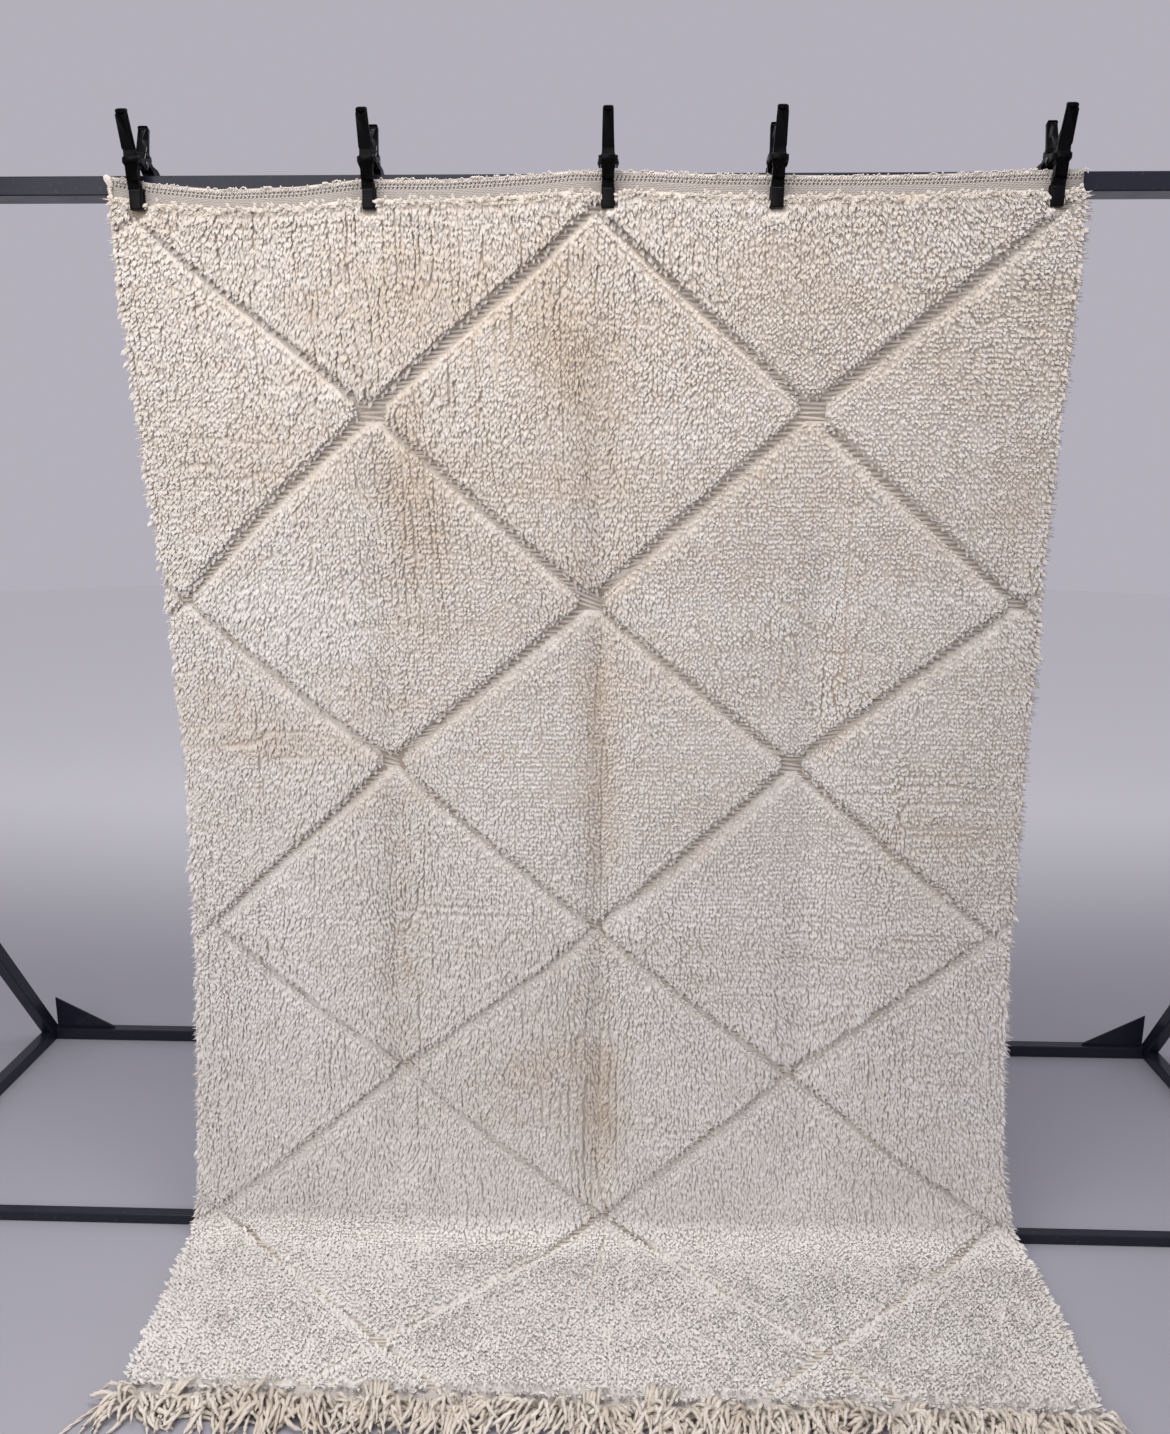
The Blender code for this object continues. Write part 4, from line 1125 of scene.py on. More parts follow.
def make_edge_locks(look):
    """Locks that hang over the rounded edges of the pile and close round the pads."""
    rng = np.random.default_rng(13)
    u, s, kinds = edge_places(look, rng)
    count = len(u)
    out = np.choose(kinds, (rng.uniform(0.7, 1.0, count), rng.uniform(0.3, 0.7, count),
                            rng.uniform(0.3, 0.5, count)))
    down = np.choose(kinds, (rng.uniform(-0.25, 0.85, count), np.ones(count),
                             rng.uniform(0.3, 0.9, count)))
    tall = np.choose(kinds, (rng.uniform(0.018, 0.024, count), rng.uniform(0.014, 0.022, count),
                             rng.uniform(0.012, 0.017, count)))
    cloth_ways = rug_ways(u, s)
    across = 0.14 * patches(u * 60.0, s * 20.0, 12) + rng.normal(0.0, 0.12, count)
    ways = leaning(cloth_ways, out, across, down)
    wide = look.lock_width * rng.uniform(0.65, 1.05, count)
    sizes = np.stack((wide, wide * 0.8, tall), axis=1)
    packed, _ = pile_heights(u, s, look)
    root = np.where(kinds == 0, np.minimum(packed, 0.004), np.maximum(packed - 0.002, 0.0))
    places = rug_points(u, s, look.cloth_thickness + root)
    mesh = plant(places, ways, sizes, rng.normal(-math.pi / 2.0, 0.6, count),
                 lock_shades(u, s, rng) - 0.2, rng.integers(0, 2, count),
                 [lock_shape("hanging_a", 4, 0.05, 0.60), lock_shape("hanging_b", 4, 0.12, 0.50)],
                 cloth_ways[0])
    return new_piece("edge_locks", mesh, bpy.data.materials["Wool pile"], "wool_pile")


def under_pad(u, s, margin):
    """Whether a place lies under a clamp's pad."""
    x = across_x(u, s)
    z = HANG_TOP - s
    covered = np.zeros(len(u), bool)
    for clamp_x in CLAMP_X:
        covered |= (np.abs(x - clamp_x) < PAD_HALF_WIDTH + margin) & (z > PAD_LOW.z - margin)
    return covered


def pile_heights(u, s, look):
    """Height of the tightly packed pile and of its tips, rounded off beside bare cloth."""
    bare = bare_distance(u, s, look)
    ends = np.minimum(s - PILE_START, PILE_END - s)
    sides = np.minimum(u, RUG_WIDTH - u)
    inside = np.minimum(np.minimum(bare, ends - 0.002), sides + 0.002)
    packed = look.packed_height * ramp(-0.002, 0.008, inside) * (1.0 - 0.20 * ramp(0.9, 1.5, s))
    packed *= ~under_pad(u, s, 0.002)
    shoulder = 0.64 + 0.36 * ramp(0.0, 0.014, bare)
    tips = look.pile_height * shoulder * (1.0 + 0.06 * patches(u * 13.0, s * 13.0, 51)
                                          + 0.05 * patches(u * 105.0, s * 32.0, 52))
    return packed, tips


def pile_lean(u, s, look, rng):
    """How far each lock leans across and down the rug, from the lay of the pile."""
    count = len(u)
    lying = ramp(1.80, 2.00, s)
    drooping = placed(DROOPING, u, s)
    loose = 1.0 - 0.7 * np.clip(drooping, 0.0, 1.0)
    across = (0.22 * patches(u * 4.0, s * 3.0, 1) + 0.34 * loose * patches(u * 30.0, s * 17.0, 2)
              + 0.25 * patches(u * 64.0, s * 9.0, 4) + rng.normal(0.0, 0.09, count))
    down = (1.0 + 0.60 * drooping - 0.70 * lying + 0.30 * patches(u * 3.2, s * 3.0, 8)
            + 0.26 * loose * patches(u * 15.0, s * 26.0, 9) + rng.normal(0.0, 0.09, count))
    over_line = 1.0 - ramp(0.0, 0.008, bare_distance(u, s + 0.010, look))
    under_line = 1.0 - ramp(0.0, 0.008, bare_distance(u, s - 0.008, look))
    down *= 1.0 - 0.30 * over_line
    down -= 0.75 * under_line
    down += 0.5 * ramp(PILE_END - 0.020, PILE_END, s)
    return across, down


def placed(table, u, s):
    """The sum of soft spots, given one by one in a table."""
    total = np.zeros_like(u)
    for across, along, reach_across, reach_along, amount in table:
        total += amount * np.exp(-((u - across) / reach_across) ** 2
                                 - ((s - along) / reach_along) ** 2)
    return total


def partings(u, s):
    """How the pile opens in cracks: ways across and down, and how open it is."""
    across, down, gap = np.zeros_like(u), np.zeros_like(u), np.zeros_like(u)
    upright = placed(UPRIGHT_CRACKS, u, s) + 0.35 * patches(u * 5.0, s * 3.0, 14) - 0.05
    level = placed(LEVEL_CRACKS, u, s) + 0.35 * patches(u * 4.0, s * 7.0, 15) - 0.05
    fine = 0.22 + 0.5 * patches(u * 7.0, s * 6.0, 16)
    hanging = 0.15 + 0.65 * np.clip(placed(DROOPING, u, s), 0.0, 1.0)
    for size_u, size_s, seed, share, reach in (
            (72.0, 9.0, 21, upright, 0.0045), (9.0, 64.0, 22, level, 0.0045),
            (58.0, 24.0, 23, fine, 0.0040), (64.0, 9.0, 24, hanging, 0.0030)):
        share = np.clip(share, 0.0, 1.0)
        away_u, away_s, near = parted(u, s, size_u, size_s, seed, reach)
        across += share * away_u
        down += share * away_s
        gap = np.maximum(gap, near * share)
    return across, down, gap


def lean_from_pads(u, s, across, down):
    """Push the pile aside round the clamps' pads; returns how close each lock is."""
    x, z = across_x(u, s), HANG_TOP - s
    close = np.zeros_like(u)
    for clamp_x in CLAMP_X:
        off_x = x - clamp_x
        off_z = np.minimum(z - PAD_LOW.z, 0.0)
        beyond = np.hypot(np.maximum(np.abs(off_x) - PAD_HALF_WIDTH, 0.0), off_z)
        beside = np.exp(-(beyond / 0.008) ** 2)
        across += 0.5 * beside * np.sign(off_x) * np.minimum(np.abs(off_x) / PAD_HALF_WIDTH, 1.0)
        down += 0.5 * beside * (off_z < 0.0)
        close = np.maximum(close, beside)
    return close


def lock_shades(u, s, rng):
    """How light the wool of each lock is: lots of yarn in bands, single locks, yellowed spots with
    painted shade along the creases, and painted light that grows from the top down to the floor.
    """
    bands = 0.22 * patches(s * 22.0, u * 1.3, 41) + 0.22 * patches(u * 3.0, s * 3.0, 42)
    lots = 0.20 * patches(u * 12.0, s * 30.0, 43)
    # painted light: the wool is darker at the top and lighter towards the part that lies on the
    # floor, which faces the top light
    painted_light_gradient = 0.80 * ramp(0.1, 2.0, s) - 0.58
    # yellowed wool, and painted shade along the creases
    yellowed_and_crease_shade = placed(YELLOWED_AND_CREASE_SHADE, u, s)
    return painted_light_gradient + bands + lots - yellowed_and_crease_shade + rng.normal(0.0, 0.15, len(u))


def make_pile(look):
    """The cut pile: a lock for every end of yarn, in a few pieces."""
    rng = np.random.default_rng(7)
    u, s = knot_places(look)
    count = len(u)
    across, down = pile_lean(u, s, look, rng)
    open_across, open_down, gap = partings(u, s)
    across += 0.60 * open_across
    down += 0.85 * open_down
    by_pad = lean_from_pads(u, s, across, down)
    cloth_ways = rug_ways(u, s)
    rim = np.exp(-(np.minimum(u, RUG_WIDTH - u) / 0.010) ** 2)
    across += 0.55 * rim * np.sign(u - RUG_WIDTH / 2.0)
    ways = leaning(cloth_ways, np.ones(count), across, down)
    packed, tips = pile_heights(u, s, look)
    tips *= (1.0 + rng.normal(0.0, 0.05, count)) * (1.0 - 0.14 * gap) * (1.0 - 0.20 * by_pad)
    sunk = 0.004
    wide = look.lock_width * np.clip(1.0 + rng.normal(0.0, 0.17, count), 0.6, 1.4)
    stretch = np.sqrt(1.0 + across ** 2 + down ** 2)
    long = 1.12 * np.maximum(tips - packed + sunk, 0.009) * np.minimum(stretch, 2.3)
    sizes = np.stack((wide, wide * rng.uniform(0.75, 1.05, count), long), axis=1)
    places = rug_points(u, s, look.cloth_thickness + packed - sunk)
    spins = -math.pi / 2.0 + rng.normal(0.0, 0.9, count)
    # painted shade in the cracks where the pile parts
    shades = lock_shades(u, s, rng) - 0.75 * gap
    kinds = rng.integers(0, len(LOCKS), count)
    material = wool_material("Wool pile", look.pile_tip, look.pile_root, 700.0, 0.0006,
                             0.50, 0.42, 0.46)
    order = np.argsort(s, kind="stable")
    for number, chosen in enumerate(np.array_split(order, PILE_PIECES), start=1):
        shapes = [lock_shape("lock", *kind) for kind in LOCKS]
        mesh = plant(places[chosen], ways[chosen], sizes[chosen], spins[chosen], shades[chosen],
                     kinds[chosen], shapes, cloth_ways[0][chosen])
        new_piece("pile_%d" % number, mesh, material, "wool_pile")


def make_packed_pile(look):
    """The tightly packed lower part of the pile, seen between the locks, with shade painted into
    its colour.
    """
    bm = bmesh.new()
    bmesh.ops.create_grid(bm, x_segments=BED_COLUMNS, y_segments=BED_ROWS, size=1.0)
    u, s = flat_places(bm)
    packed, _ = pile_heights(u, s, look)
    hidden = 0.0015
    _, _, gap = partings(u, s)
    raised = packed * (1.0 - 0.5 * gap) * (1.0 + hidden / look.packed_height)
    points = rug_points(u, s, look.cloth_thickness - hidden + raised)
    for vert, point in zip(bm.verts, points):
        vert.co = point
    buried = [face for face in bm.faces if all(packed[v.index] < 0.0002 for v in face.verts)]
    bmesh.ops.delete(bm, geom=buried, context="FACES")
    left = [vert.index for vert in bm.verts]
    shade = lock_shades(u, s, np.random.default_rng(8))
    # painted shade: the packed pile is darker than the tips, deep in the pile, and darker still in
    # the cracks
    painted_bed_shade, kept_shade = (0.55 - 0.55 * gap)[left], shade[left]
    mesh = mesh_of(bm, "packed_pile")
    if mesh.polygons[len(mesh.polygons) // 2].normal.y > 0.0:
        mesh.flip_normals()
    smooth(mesh)
    normal, _, _ = rug_ways(u[left], s[left])
    carry(mesh, "lay", "FLOAT_VECTOR", normal)
    soften_shading(mesh, BED_SHARE)
    forget(mesh, ("lay",))
    carry(mesh, "tip", "FLOAT", painted_bed_shade)
    carry(mesh, "shade", "FLOAT", kept_shade)
    # a lower base than the locks' is painted shade deep in the pile
    material = wool_material("Packed wool", look.pile_tip, look.pile_root, 260.0, 0.0022,
                             0.50, 0.42, 0.38)
    return new_piece("packed_pile", mesh, material, "wool_pile")


def make_rim_locks():
    """Longer loose locks along both side edges."""
    rng = np.random.default_rng(17)
    one_file = np.arange(*RIM_LOCKS)
    s = np.concatenate([one_file] * len(RIM_SIDES))
    s = s + rng.normal(0.0, 0.0015, len(s))
    count = len(s)
    sign = np.repeat(RIM_SIDES, len(one_file))
    u = RUG_WIDTH / 2.0 + sign * (RUG_WIDTH / 2.0 - rng.uniform(0.0, 0.006, count))
    kept = (sign > 0.0) | (s > 0.14 * rng.uniform(0.2, 1.3, count))
    u, s, sign = u[kept], s[kept], sign[kept]
    count = len(s)
    out = rng.uniform(0.15, 0.9, count) + 0.25 * ramp(1.85, 2.0, s)
    ways = leaning(rug_ways(u, s), out, sign, rng.normal(0.25, 0.30, count))
    wide = rng.uniform(0.0035, 0.0065, count)
    tall = rng.uniform(0.012, 0.021, count) * (1.0 + 0.25 * patches(s * 14.0, sign * 3.0, 3))
    places = rug_points(u, s, rng.uniform(0.001, 0.006, count))
    sizes = np.stack((wide, wide, tall), axis=1)
    mesh = plant(places, ways, sizes, rng.uniform(-2.6, -0.5, count),
                 lock_shades(u, s, rng), rng.integers(0, 2, count),
                 [lock_shape("rim_lock_a", 4, 0.25, 0.36), lock_shape("rim_lock_b", 4, 0.40, 0.30)])
    return new_piece("rim_locks", mesh, bpy.data.materials["Wool pile"], "wool_pile")


def make_wefts(look):
    """Bare wefts that cross the lattice lines like the rungs of a ladder."""
    rng = np.random.default_rng(23)
    rows = []
    reach = look.groove_half * DIAGONAL / HALF_DIAMOND_HEIGHT + 0.007
    for s in np.arange(PILE_START + 0.003 + look.row_pitch / 2.0, PILE_END, look.row_pitch):
        _, q = lattice_place(np.array([RUG_WIDTH / 2.0]), np.array([s]))
        even = np.arange(-8, 9) * 2.0
        crossed = np.concatenate((even - q[0], even + q[0]))
        centres = np.sort(FIRST_CROSSING + HALF_DIAMOND * crossed + of_crossing(1, q[0]))
        centres = centres[(centres > 0.004) & (centres < RUG_WIDTH - 0.004)]
        place = 0
        while place < len(centres):
            low = high = centres[place]
            if place + 1 < len(centres) and centres[place + 1] - low < 1.8 * reach:
                high = centres[place + 1]
                place += 1
            place += 1
            half = reach
            if high - low < 0.05:
                half = max(reach, of_crossing(2, round(q[0])) + 0.004 - (high - low) / 2.0)
            low, high = max(low - half, 0.003), min(high + half, RUG_WIDTH - 0.003)
            rows.append(((low + high) / 2.0, s, high - low))
    rows = np.array(rows)
    u, s, wide = rows[:, 0], rows[:, 1] + rng.normal(0.0, 0.0005, len(rows)), rows[:, 2]
    open_air = ~under_pad(u, s, 0.004)
    u, s, wide = u[open_air], s[open_air], wide[open_air]
    count = len(u)
    normal, _, _ = rug_ways(u, s)
    sizes = np.stack((wide, rng.uniform(0.0052, 0.0064, count),
                      rng.uniform(0.0040, 0.0050, count)), axis=1)
    places = rug_points(u, s, np.full(count, look.cloth_thickness + 0.0006))
    material = wool_material("Weft yarn", look.weft, [part * 0.7 for part in look.weft],
                             900.0, 0.0004, 0.0, 0.4, 0.75)
    mesh = plant(places, normal, sizes, rng.normal(0.0, 0.05, count),
                 rng.normal(0.0, 0.4, count), np.zeros(count), [bar_shape("weft", 6, 0.85)])
    return new_piece("lattice_wefts", mesh, material, "wool_pile")


def make_hem(look):
    """The rolled top edge, oversewn with short stitches that leave small holes below it."""
    rng = np.random.default_rng(29)
    row_u = np.arange(0.010, RUG_WIDTH - 0.004, HEM_STITCH_PITCH)
    row_u = row_u[patches(row_u * 14.0, row_u * 0.0, 33) > -0.75]
    u = np.concatenate([row_u] * len(HEM_STITCHES))
    u = u + rng.normal(0.0, 0.0003, len(u))
    s, turn, long, wide = (np.repeat(column, len(row_u)) for column in zip(*HEM_STITCHES))
    s = s + rng.normal(0.0, 0.0005, len(s))
    turn = turn + rng.normal(0.0, 0.14, len(s))
    bulge = np.where(s < 0.008, 0.0006, 0.0002)
    free = ~under_pad(u, s, 0.001)
    u, s, turn, long, wide, bulge = (part[free] for part in (u, s, turn, long, wide, bulge))
    normal, _, _ = rug_ways(u, s)
    thick = wide * rng.uniform(0.85, 1.15, len(u))
    sizes = np.stack((long * rng.uniform(0.85, 1.1, len(u)), thick, thick * 0.9), axis=1)
    places = rug_points(u, s, look.cloth_thickness + bulge)
    material = wool_material("Hem yarn", look.weft, [part * 0.72 for part in look.weft],
                             1200.0, 0.0003, 0.0, 0.35, 0.75)
    stitches = plant(places, normal, sizes, turn, rng.normal(0.0, 0.5, len(u)),
                     np.zeros(len(u)), [bar_shape("stitch", 4, 0.7)])
    new_piece("hem_stitches", stitches, material, "wool_pile")
    u = np.arange(-0.002, RUG_WIDTH + 0.002, 0.0024)
    lumps = patches(u * 55.0, u * 0.0, 6)
    line = rug_points(u, 0.0024 + 0.0007 * lumps, np.full(len(u), look.cloth_thickness * 0.6))
    radii = 0.0026 * (1.0 + 0.16 * lumps + 0.14 * patches(u * 150.0, u * 0.0, 7))
    roll = sweep([(line, radii, u * 2.0 * math.pi / HEM_ROLL_TWIST, 0.0)], 4, 0.80)
    new_piece("hem_roll", roll, material, "wool_pile")
    make_loose_ends(material)


def add_rolled_side(strands):
    """The rolled side below the top left corner."""
    s = np.linspace(0.001, CORNER_ROLL, 30)
    raised = 0.005 + 0.006 * ramp(0.03, 0.05, s) - 0.006 * ramp(0.13, CORNER_ROLL, s)
    roll = rug_points(-0.0015 + 0.0010 * patches(s * 40.0, s * 0.0, 8), s, raised)
    radii = 0.0052 - 0.0022 * ramp(0.08, CORNER_ROLL, s) + 0.0006 * patches(s * 90.0, s * 0.0, 9)
    strands.append((roll, radii, s * 2.0 * math.pi / CORNER_TWIST, 0.6))


def add_tuft(strands):
    """The tuft that stands up at the top left corner."""
    corner = rug_point(0.0, 0.012, 0.006)
    for k in range(TUFT_STRANDS):
        angle = 2.0 * math.pi * k / TUFT_STRANDS
        reach = 0.0052 if k % 2 else 0.0034
        swing = np.array((math.cos(angle) * reach, 0.4 * math.sin(angle) * reach, 0.0))
        line = curve_through((corner + swing * 0.5 + (0.0, 0.0, -0.004),
                              corner + swing + (-0.002, -0.002, 0.004),
                              corner + swing * 0.9 + (-0.004, -0.002, 0.010),
                              corner + swing * 0.2 + (-0.006, -0.001, 0.013)), 8)
        strands.append((line, np.linspace(0.0022, 0.0013, 8), np.linspace(0.0, 3.0, 8), 0.6))


def add_loose_threads(strands):
    """A few threads that have come loose near the two top corners."""
    for u, s, reach, rise, width in LOOSE_THREADS:
        foot = rug_point(u, s, 0.004)
        top = foot + np.array((reach, -0.003, rise))
        back = foot + np.array((reach * 1.6, -0.002, rise * 0.2))
        line = curve_through((foot, (foot + top) / 2.0 + (0.0, -0.002, 0.0), top, back), 10)
        strands.append((line, np.full(10, width / 2.0), np.linspace(0.0, 9.0, 10), 0.3))


def add_fuzz(strands):
    """Short fine threads along the top edge."""
    rng = np.random.default_rng(30)
    for u in rng.uniform(0.02, RUG_WIDTH - 0.02, FUZZ_THREADS):
        foot = rug_point(u, 0.003, 0.003)
        reach = rng.normal(0.0, 0.003)
        rise = rng.uniform(0.002, 0.006)
        top = foot + np.array((reach, -0.002, rise))
        end = foot + np.array((reach * 2.2, -0.004, rise * 0.4))
        line = curve_through((foot, top, end), 4)
        strands.append((line, np.linspace(0.0012, 0.0007, 4), np.zeros(4), 0.2))


def make_loose_ends(material):
    """The rolled side and tuft at the top left corner, and loose threads along the edge."""
    strands = []
    for add in (add_rolled_side, add_tuft, add_loose_threads, add_fuzz):
        add(strands)
    return new_piece("hem_loose_ends", sweep(strands, 3, 0.75), material, "wool_pile")


def fringe_strand(foot, heading, bend, far, rise, fall, rng):
    """One warp end: out of the woven edge, over a hump and down, bending as it goes."""
    steps = 7
    place = np.array(foot)
    line = [place - (math.sin(heading) * 0.006, -math.cos(heading) * 0.006, 0.0), place]
    wave = rng.uniform(0.0, 2.0 * math.pi)
    for k in range(1, steps + 1):
        part = k / steps
        heading += bend / steps + 0.30 * math.sin(wave + k * 1.7)
        place = place + np.array((math.sin(heading), -math.cos(heading), 0.0)) * far / steps
        height = foot[2] * (1.0 - part) + fall * part + rise * math.sin(math.pi * part) ** 1.3
        line.append(np.array((place[0], place[1], height)))
    return curve_through(line, 10)


def add_yarn(strands, line, width, twist, shade):
    """Add a yarn to the list: it thins at its cut end and stays above the floor."""
    part = np.linspace(0.0, 1.0, len(line))
    far = np.linalg.norm(line[-1] - line[0])
    radii = width / 2.0 * (0.80 + 0.20 * ramp(0.0, 0.25, part) - 0.50 * ramp(0.82, 1.0, part))
    line[:, 2] = np.maximum(line[:, 2], radii)
    strands.append((line, radii, part * far * 2.0 * math.pi / twist, shade))


def make_fringe(look):
    """The messy warp ends along the lower edge, and the long cord at its left corner."""
    rng = np.random.default_rng(31)
    edge_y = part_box("fringe")[1].y
    left, right = EDGES[-1][1] + 0.003, EDGES[-1][2] - 0.003
    strands = []
    for k in range(FRINGE_BUNDLES):
        part = (k + 0.5) / FRINGE_BUNDLES
        x = left + (right - left) * part
        near_left = float(1.0 - ramp(0.0, 0.07, np.array(part)))
        near_right = float(ramp(0.91, 1.0, np.array(part)))
        lean = 0.95 * noise.noise(Vector((part * 19.0, 0.5, 2.0))) + 0.75 * near_right
        lean -= 0.40 * near_left
        curl = 2.4 * noise.noise(Vector((part * 26.0, 7.5, 2.0))) * (1.0 - near_right)
        high = 0.007 + 0.010 * noise.noise(Vector((part * 17.0, 3.5, 2.0)))
        lot = 0.80 * noise.noise(Vector((part * 23.0, 9.5, 2.0))) + rng.normal(0.0, 0.3)
        for layer in range(FRINGE_LAYERS):
            width = look.strand_width * rng.uniform(0.80, 1.15)
            far = look.strand_length * rng.uniform(0.70, 1.05) * (1.0 - 0.17 * layer)
            foot = (x + rng.uniform(-0.009, 0.009), edge_y + 0.001, 0.0035 + 0.002 * layer)
            line = fringe_strand(foot, lean + rng.normal(0.0, 0.20),
                                 curl + rng.normal(0.0, 0.9), far,
                                 max(high + 0.004 * layer + rng.normal(0.0, 0.004), 0.001),
                                 width * (0.5 + 0.7 * layer), rng)
            add_yarn(strands, line, width, rng.uniform(0.020, 0.034), lot + rng.normal(0.0, 0.2))
    add_thrown_back(strands, left, right, edge_y, look, rng)
    add_corner_cord(strands, left, edge_y)
    material = wool_material("Fringe yarn", look.yarn_light, look.yarn_dark, 1100.0, 0.0005,
                             0.0, 0.35, 0.66)
    return new_piece("fringe_yarns", sweep(strands, 3, 0.70), material, "fringe_yarn", "fringe")


def add_thrown_back(strands, left, right, edge_y, look, rng):
    """Bundles of warp ends that curl up and lie back on the edge of the pile."""
    for part, count, back, across in THROWN_BACK:
        x = left + (right - left) * part
        for _ in range(count):
            start = x + rng.uniform(-0.016, 0.016)
            away = across + rng.normal(0.0, 0.25)
            out = rng.uniform(0.010, 0.026)
            top = rng.uniform(0.018, 0.028)
            end = back * rng.uniform(0.7, 1.15)
            line = curve_through((
                (start, edge_y + 0.004, 0.004),
                (start, edge_y - out * 0.8, 0.010),
                (start + away * end * 0.2, edge_y - out, top * 0.7),
                (start + away * end * 0.5, edge_y, top),
                (start + away * end * 0.8, edge_y + end * 0.6, top + 0.003),
                (start + away * end, edge_y + end, top - 0.005)), 16)
            add_yarn(strands, line, look.strand_width * rng.uniform(0.75, 1.1),
                     rng.uniform(0.020, 0.034), rng.normal(0.15, 0.3))


def add_corner_cord(strands, left, edge_y):
    """The long plied cord that trails from the left corner."""
    for side in (-1.0, 1.0):
        line = curve_through((
            (left, edge_y + 0.004, 0.006),
            (left - 0.014, edge_y - 0.006, 0.010),
            (left - 0.034, edge_y - 0.020, 0.006),
            (left - 0.052, edge_y - 0.042, 0.004),
            (left - 0.066, edge_y - 0.066, 0.004),
            (left - 0.074, edge_y - 0.088, 0.004)), 44)
        turn = np.linspace(0.0, 22.0, len(line)) + side * math.pi / 2.0
        line[:, 0] += 0.0016 * np.cos(turn)
        line[:, 2] += 0.0016 * np.sin(turn)
        add_yarn(strands, line, 0.0042, 0.012, -0.2)


# Clamps and stand ---------------------------------------------------------------------------
def soften_node(name, width, segments, material):
    """Give a rigid node of the part its finish and softly rounded edges."""
    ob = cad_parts[name]
    ob.data.materials.clear()
    ob.data.materials.append(material)
    weld = ob.modifiers.new("Joined", "WELD")
    weld.merge_threshold = 0.00001
    plain = ob.modifiers.new("Plain faces", "DECIMATE")
    plain.decimate_type = "DISSOLVE"
    plain.angle_limit = math.radians(3.0)
    bevel = ob.modifiers.new("Rounded", "BEVEL")
    bevel.width = width
    bevel.segments = segments
    bevel.limit_method = "ANGLE"
    bevel.angle_limit = math.radians(28.0)
    bevel.use_clamp_overlap = True


def make_stand(look):
    """Painted steel tubes and corner plates."""
    material = hard_material(
        "Black paint", look.paint, 0.36, 260.0, 0.00012, 0.16, 0.30,
        {"Specular IOR Level": 0.22, "Coat Weight": 0.15, "Coat Roughness": 0.15})
    for name in sorted(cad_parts):
        if name.startswith(("top_rail", "front_floor", "back_floor", "post", "side_bar",
                            "brace", "gusset")):
            soften_node(name, look.edge_rounding, 2, material)


def spine_point(row):
    """The place of a row of y and z in the middle of a clamp."""
    return Vector((0.0, row[0], row[1]))


def strap(bm, rows, half_widths):
    """Add a flat strap along rows of y, z and half thickness; returns its new faces."""
    centres = [spine_point(row) for row in rows]
    before = set(bm.faces)
    face = None
    for k, centre in enumerate(centres):
        along = (centres[min(k + 1, len(rows) - 1)] - centres[max(k - 1, 0)]).normalized()
        across = Vector((0.0, along.z, -along.y)) * rows[k][2]
        side = Vector((half_widths[min(k, len(half_widths) - 1)], 0.0, 0.0))
        corners = (centre - side + across, centre + side + across,
                   centre + side - across, centre - side - across)
        if face is None:
            face = bm.faces.new([bm.verts.new(corner) for corner in corners])
            continue
        made = bmesh.ops.extrude_face_region(bm, geom=[face])["geom"]
        face = [item for item in made if isinstance(item, bmesh.types.BMFace)][0]
        for vert, corner in zip(face.verts, corners):
            vert.co = corner
    return [item for item in bm.faces if item not in before]


def channel(bm, faces, way, rim, depth):
    """Inset the faces that look a way, and move the inset part that way by a depth."""
    bmesh.ops.recalc_face_normals(bm, faces=faces)
    chosen = [face for face in faces if face.normal.dot(way) > 0.8]
    bmesh.ops.inset_region(bm, faces=chosen, thickness=rim, depth=0.0)
    inner = dict.fromkeys(vert for face in chosen for vert in face.verts)
    bmesh.ops.translate(bm, vec=way * depth, verts=list(inner))


def round_edges(bm, edges, rounding, segments):
    """Round some edges, each once and in the order given."""
    bmesh.ops.bevel(bm, geom=list(dict.fromkeys(edges)), offset=rounding, segments=segments,
                    profile=0.5, affect="EDGES", material=-1, clamp_overlap=True)


def round_block(bm, middle, size, rounding, segments=2):
    """Add a block with rounded edges, so far from its middle each way."""
    made = bmesh.ops.create_cube(bm, size=2.0)["verts"]
    bmesh.ops.scale(bm, vec=size, verts=made)
    bmesh.ops.translate(bm, vec=middle, verts=made)
    round_edges(bm, (edge for vert in made for edge in vert.link_edges), rounding, segments)


def between_rows(upper, lower, part):
    """A row part of the way from one spine row to the next."""
    return tuple(a + (b - a) * part for a, b in zip(upper, lower))


def ear_shape(root_rows, inner, sign):
    """A plate from the arm's shoulder to a round end, bored for the pin."""
    bm = bmesh.new()
    round_end = bmesh.ops.create_cone(bm, cap_ends=True, segments=24, radius1=EAR_RADIUS,
                                      radius2=EAR_RADIUS, depth=EAR_THICKNESS)["verts"]
    bmesh.ops.rotate(bm, matrix=Matrix.Rotation(math.pi / 2.0, 3, "Y"), verts=round_end)
    middle = sign * (inner + EAR_THICKNESS / 2.0)
    bmesh.ops.translate(bm, vec=(middle, PIN_Y, PIN_Z), verts=round_end)
    half = EAR_THICKNESS / 2.0
    roots = [bm.verts.new((middle + side, row[0], row[1]))
             for row in root_rows for side in (-half, half)]
    hull = bmesh.ops.convex_hull(bm, input=round_end + roots)
    spare = [item for item in hull["geom_interior"] + hull["geom_unused"]
             if isinstance(item, bmesh.types.BMVert) and item.is_valid]
    bmesh.ops.delete(bm, geom=spare, context="VERTS")
    bore = (PIN_RADIUS + 0.0003, 0.1, Vector((0.0, PIN_Y, PIN_Z)), (1.0, 0.0, 0.0))
    return drilled(mesh_of(bm, "ear"), bore)


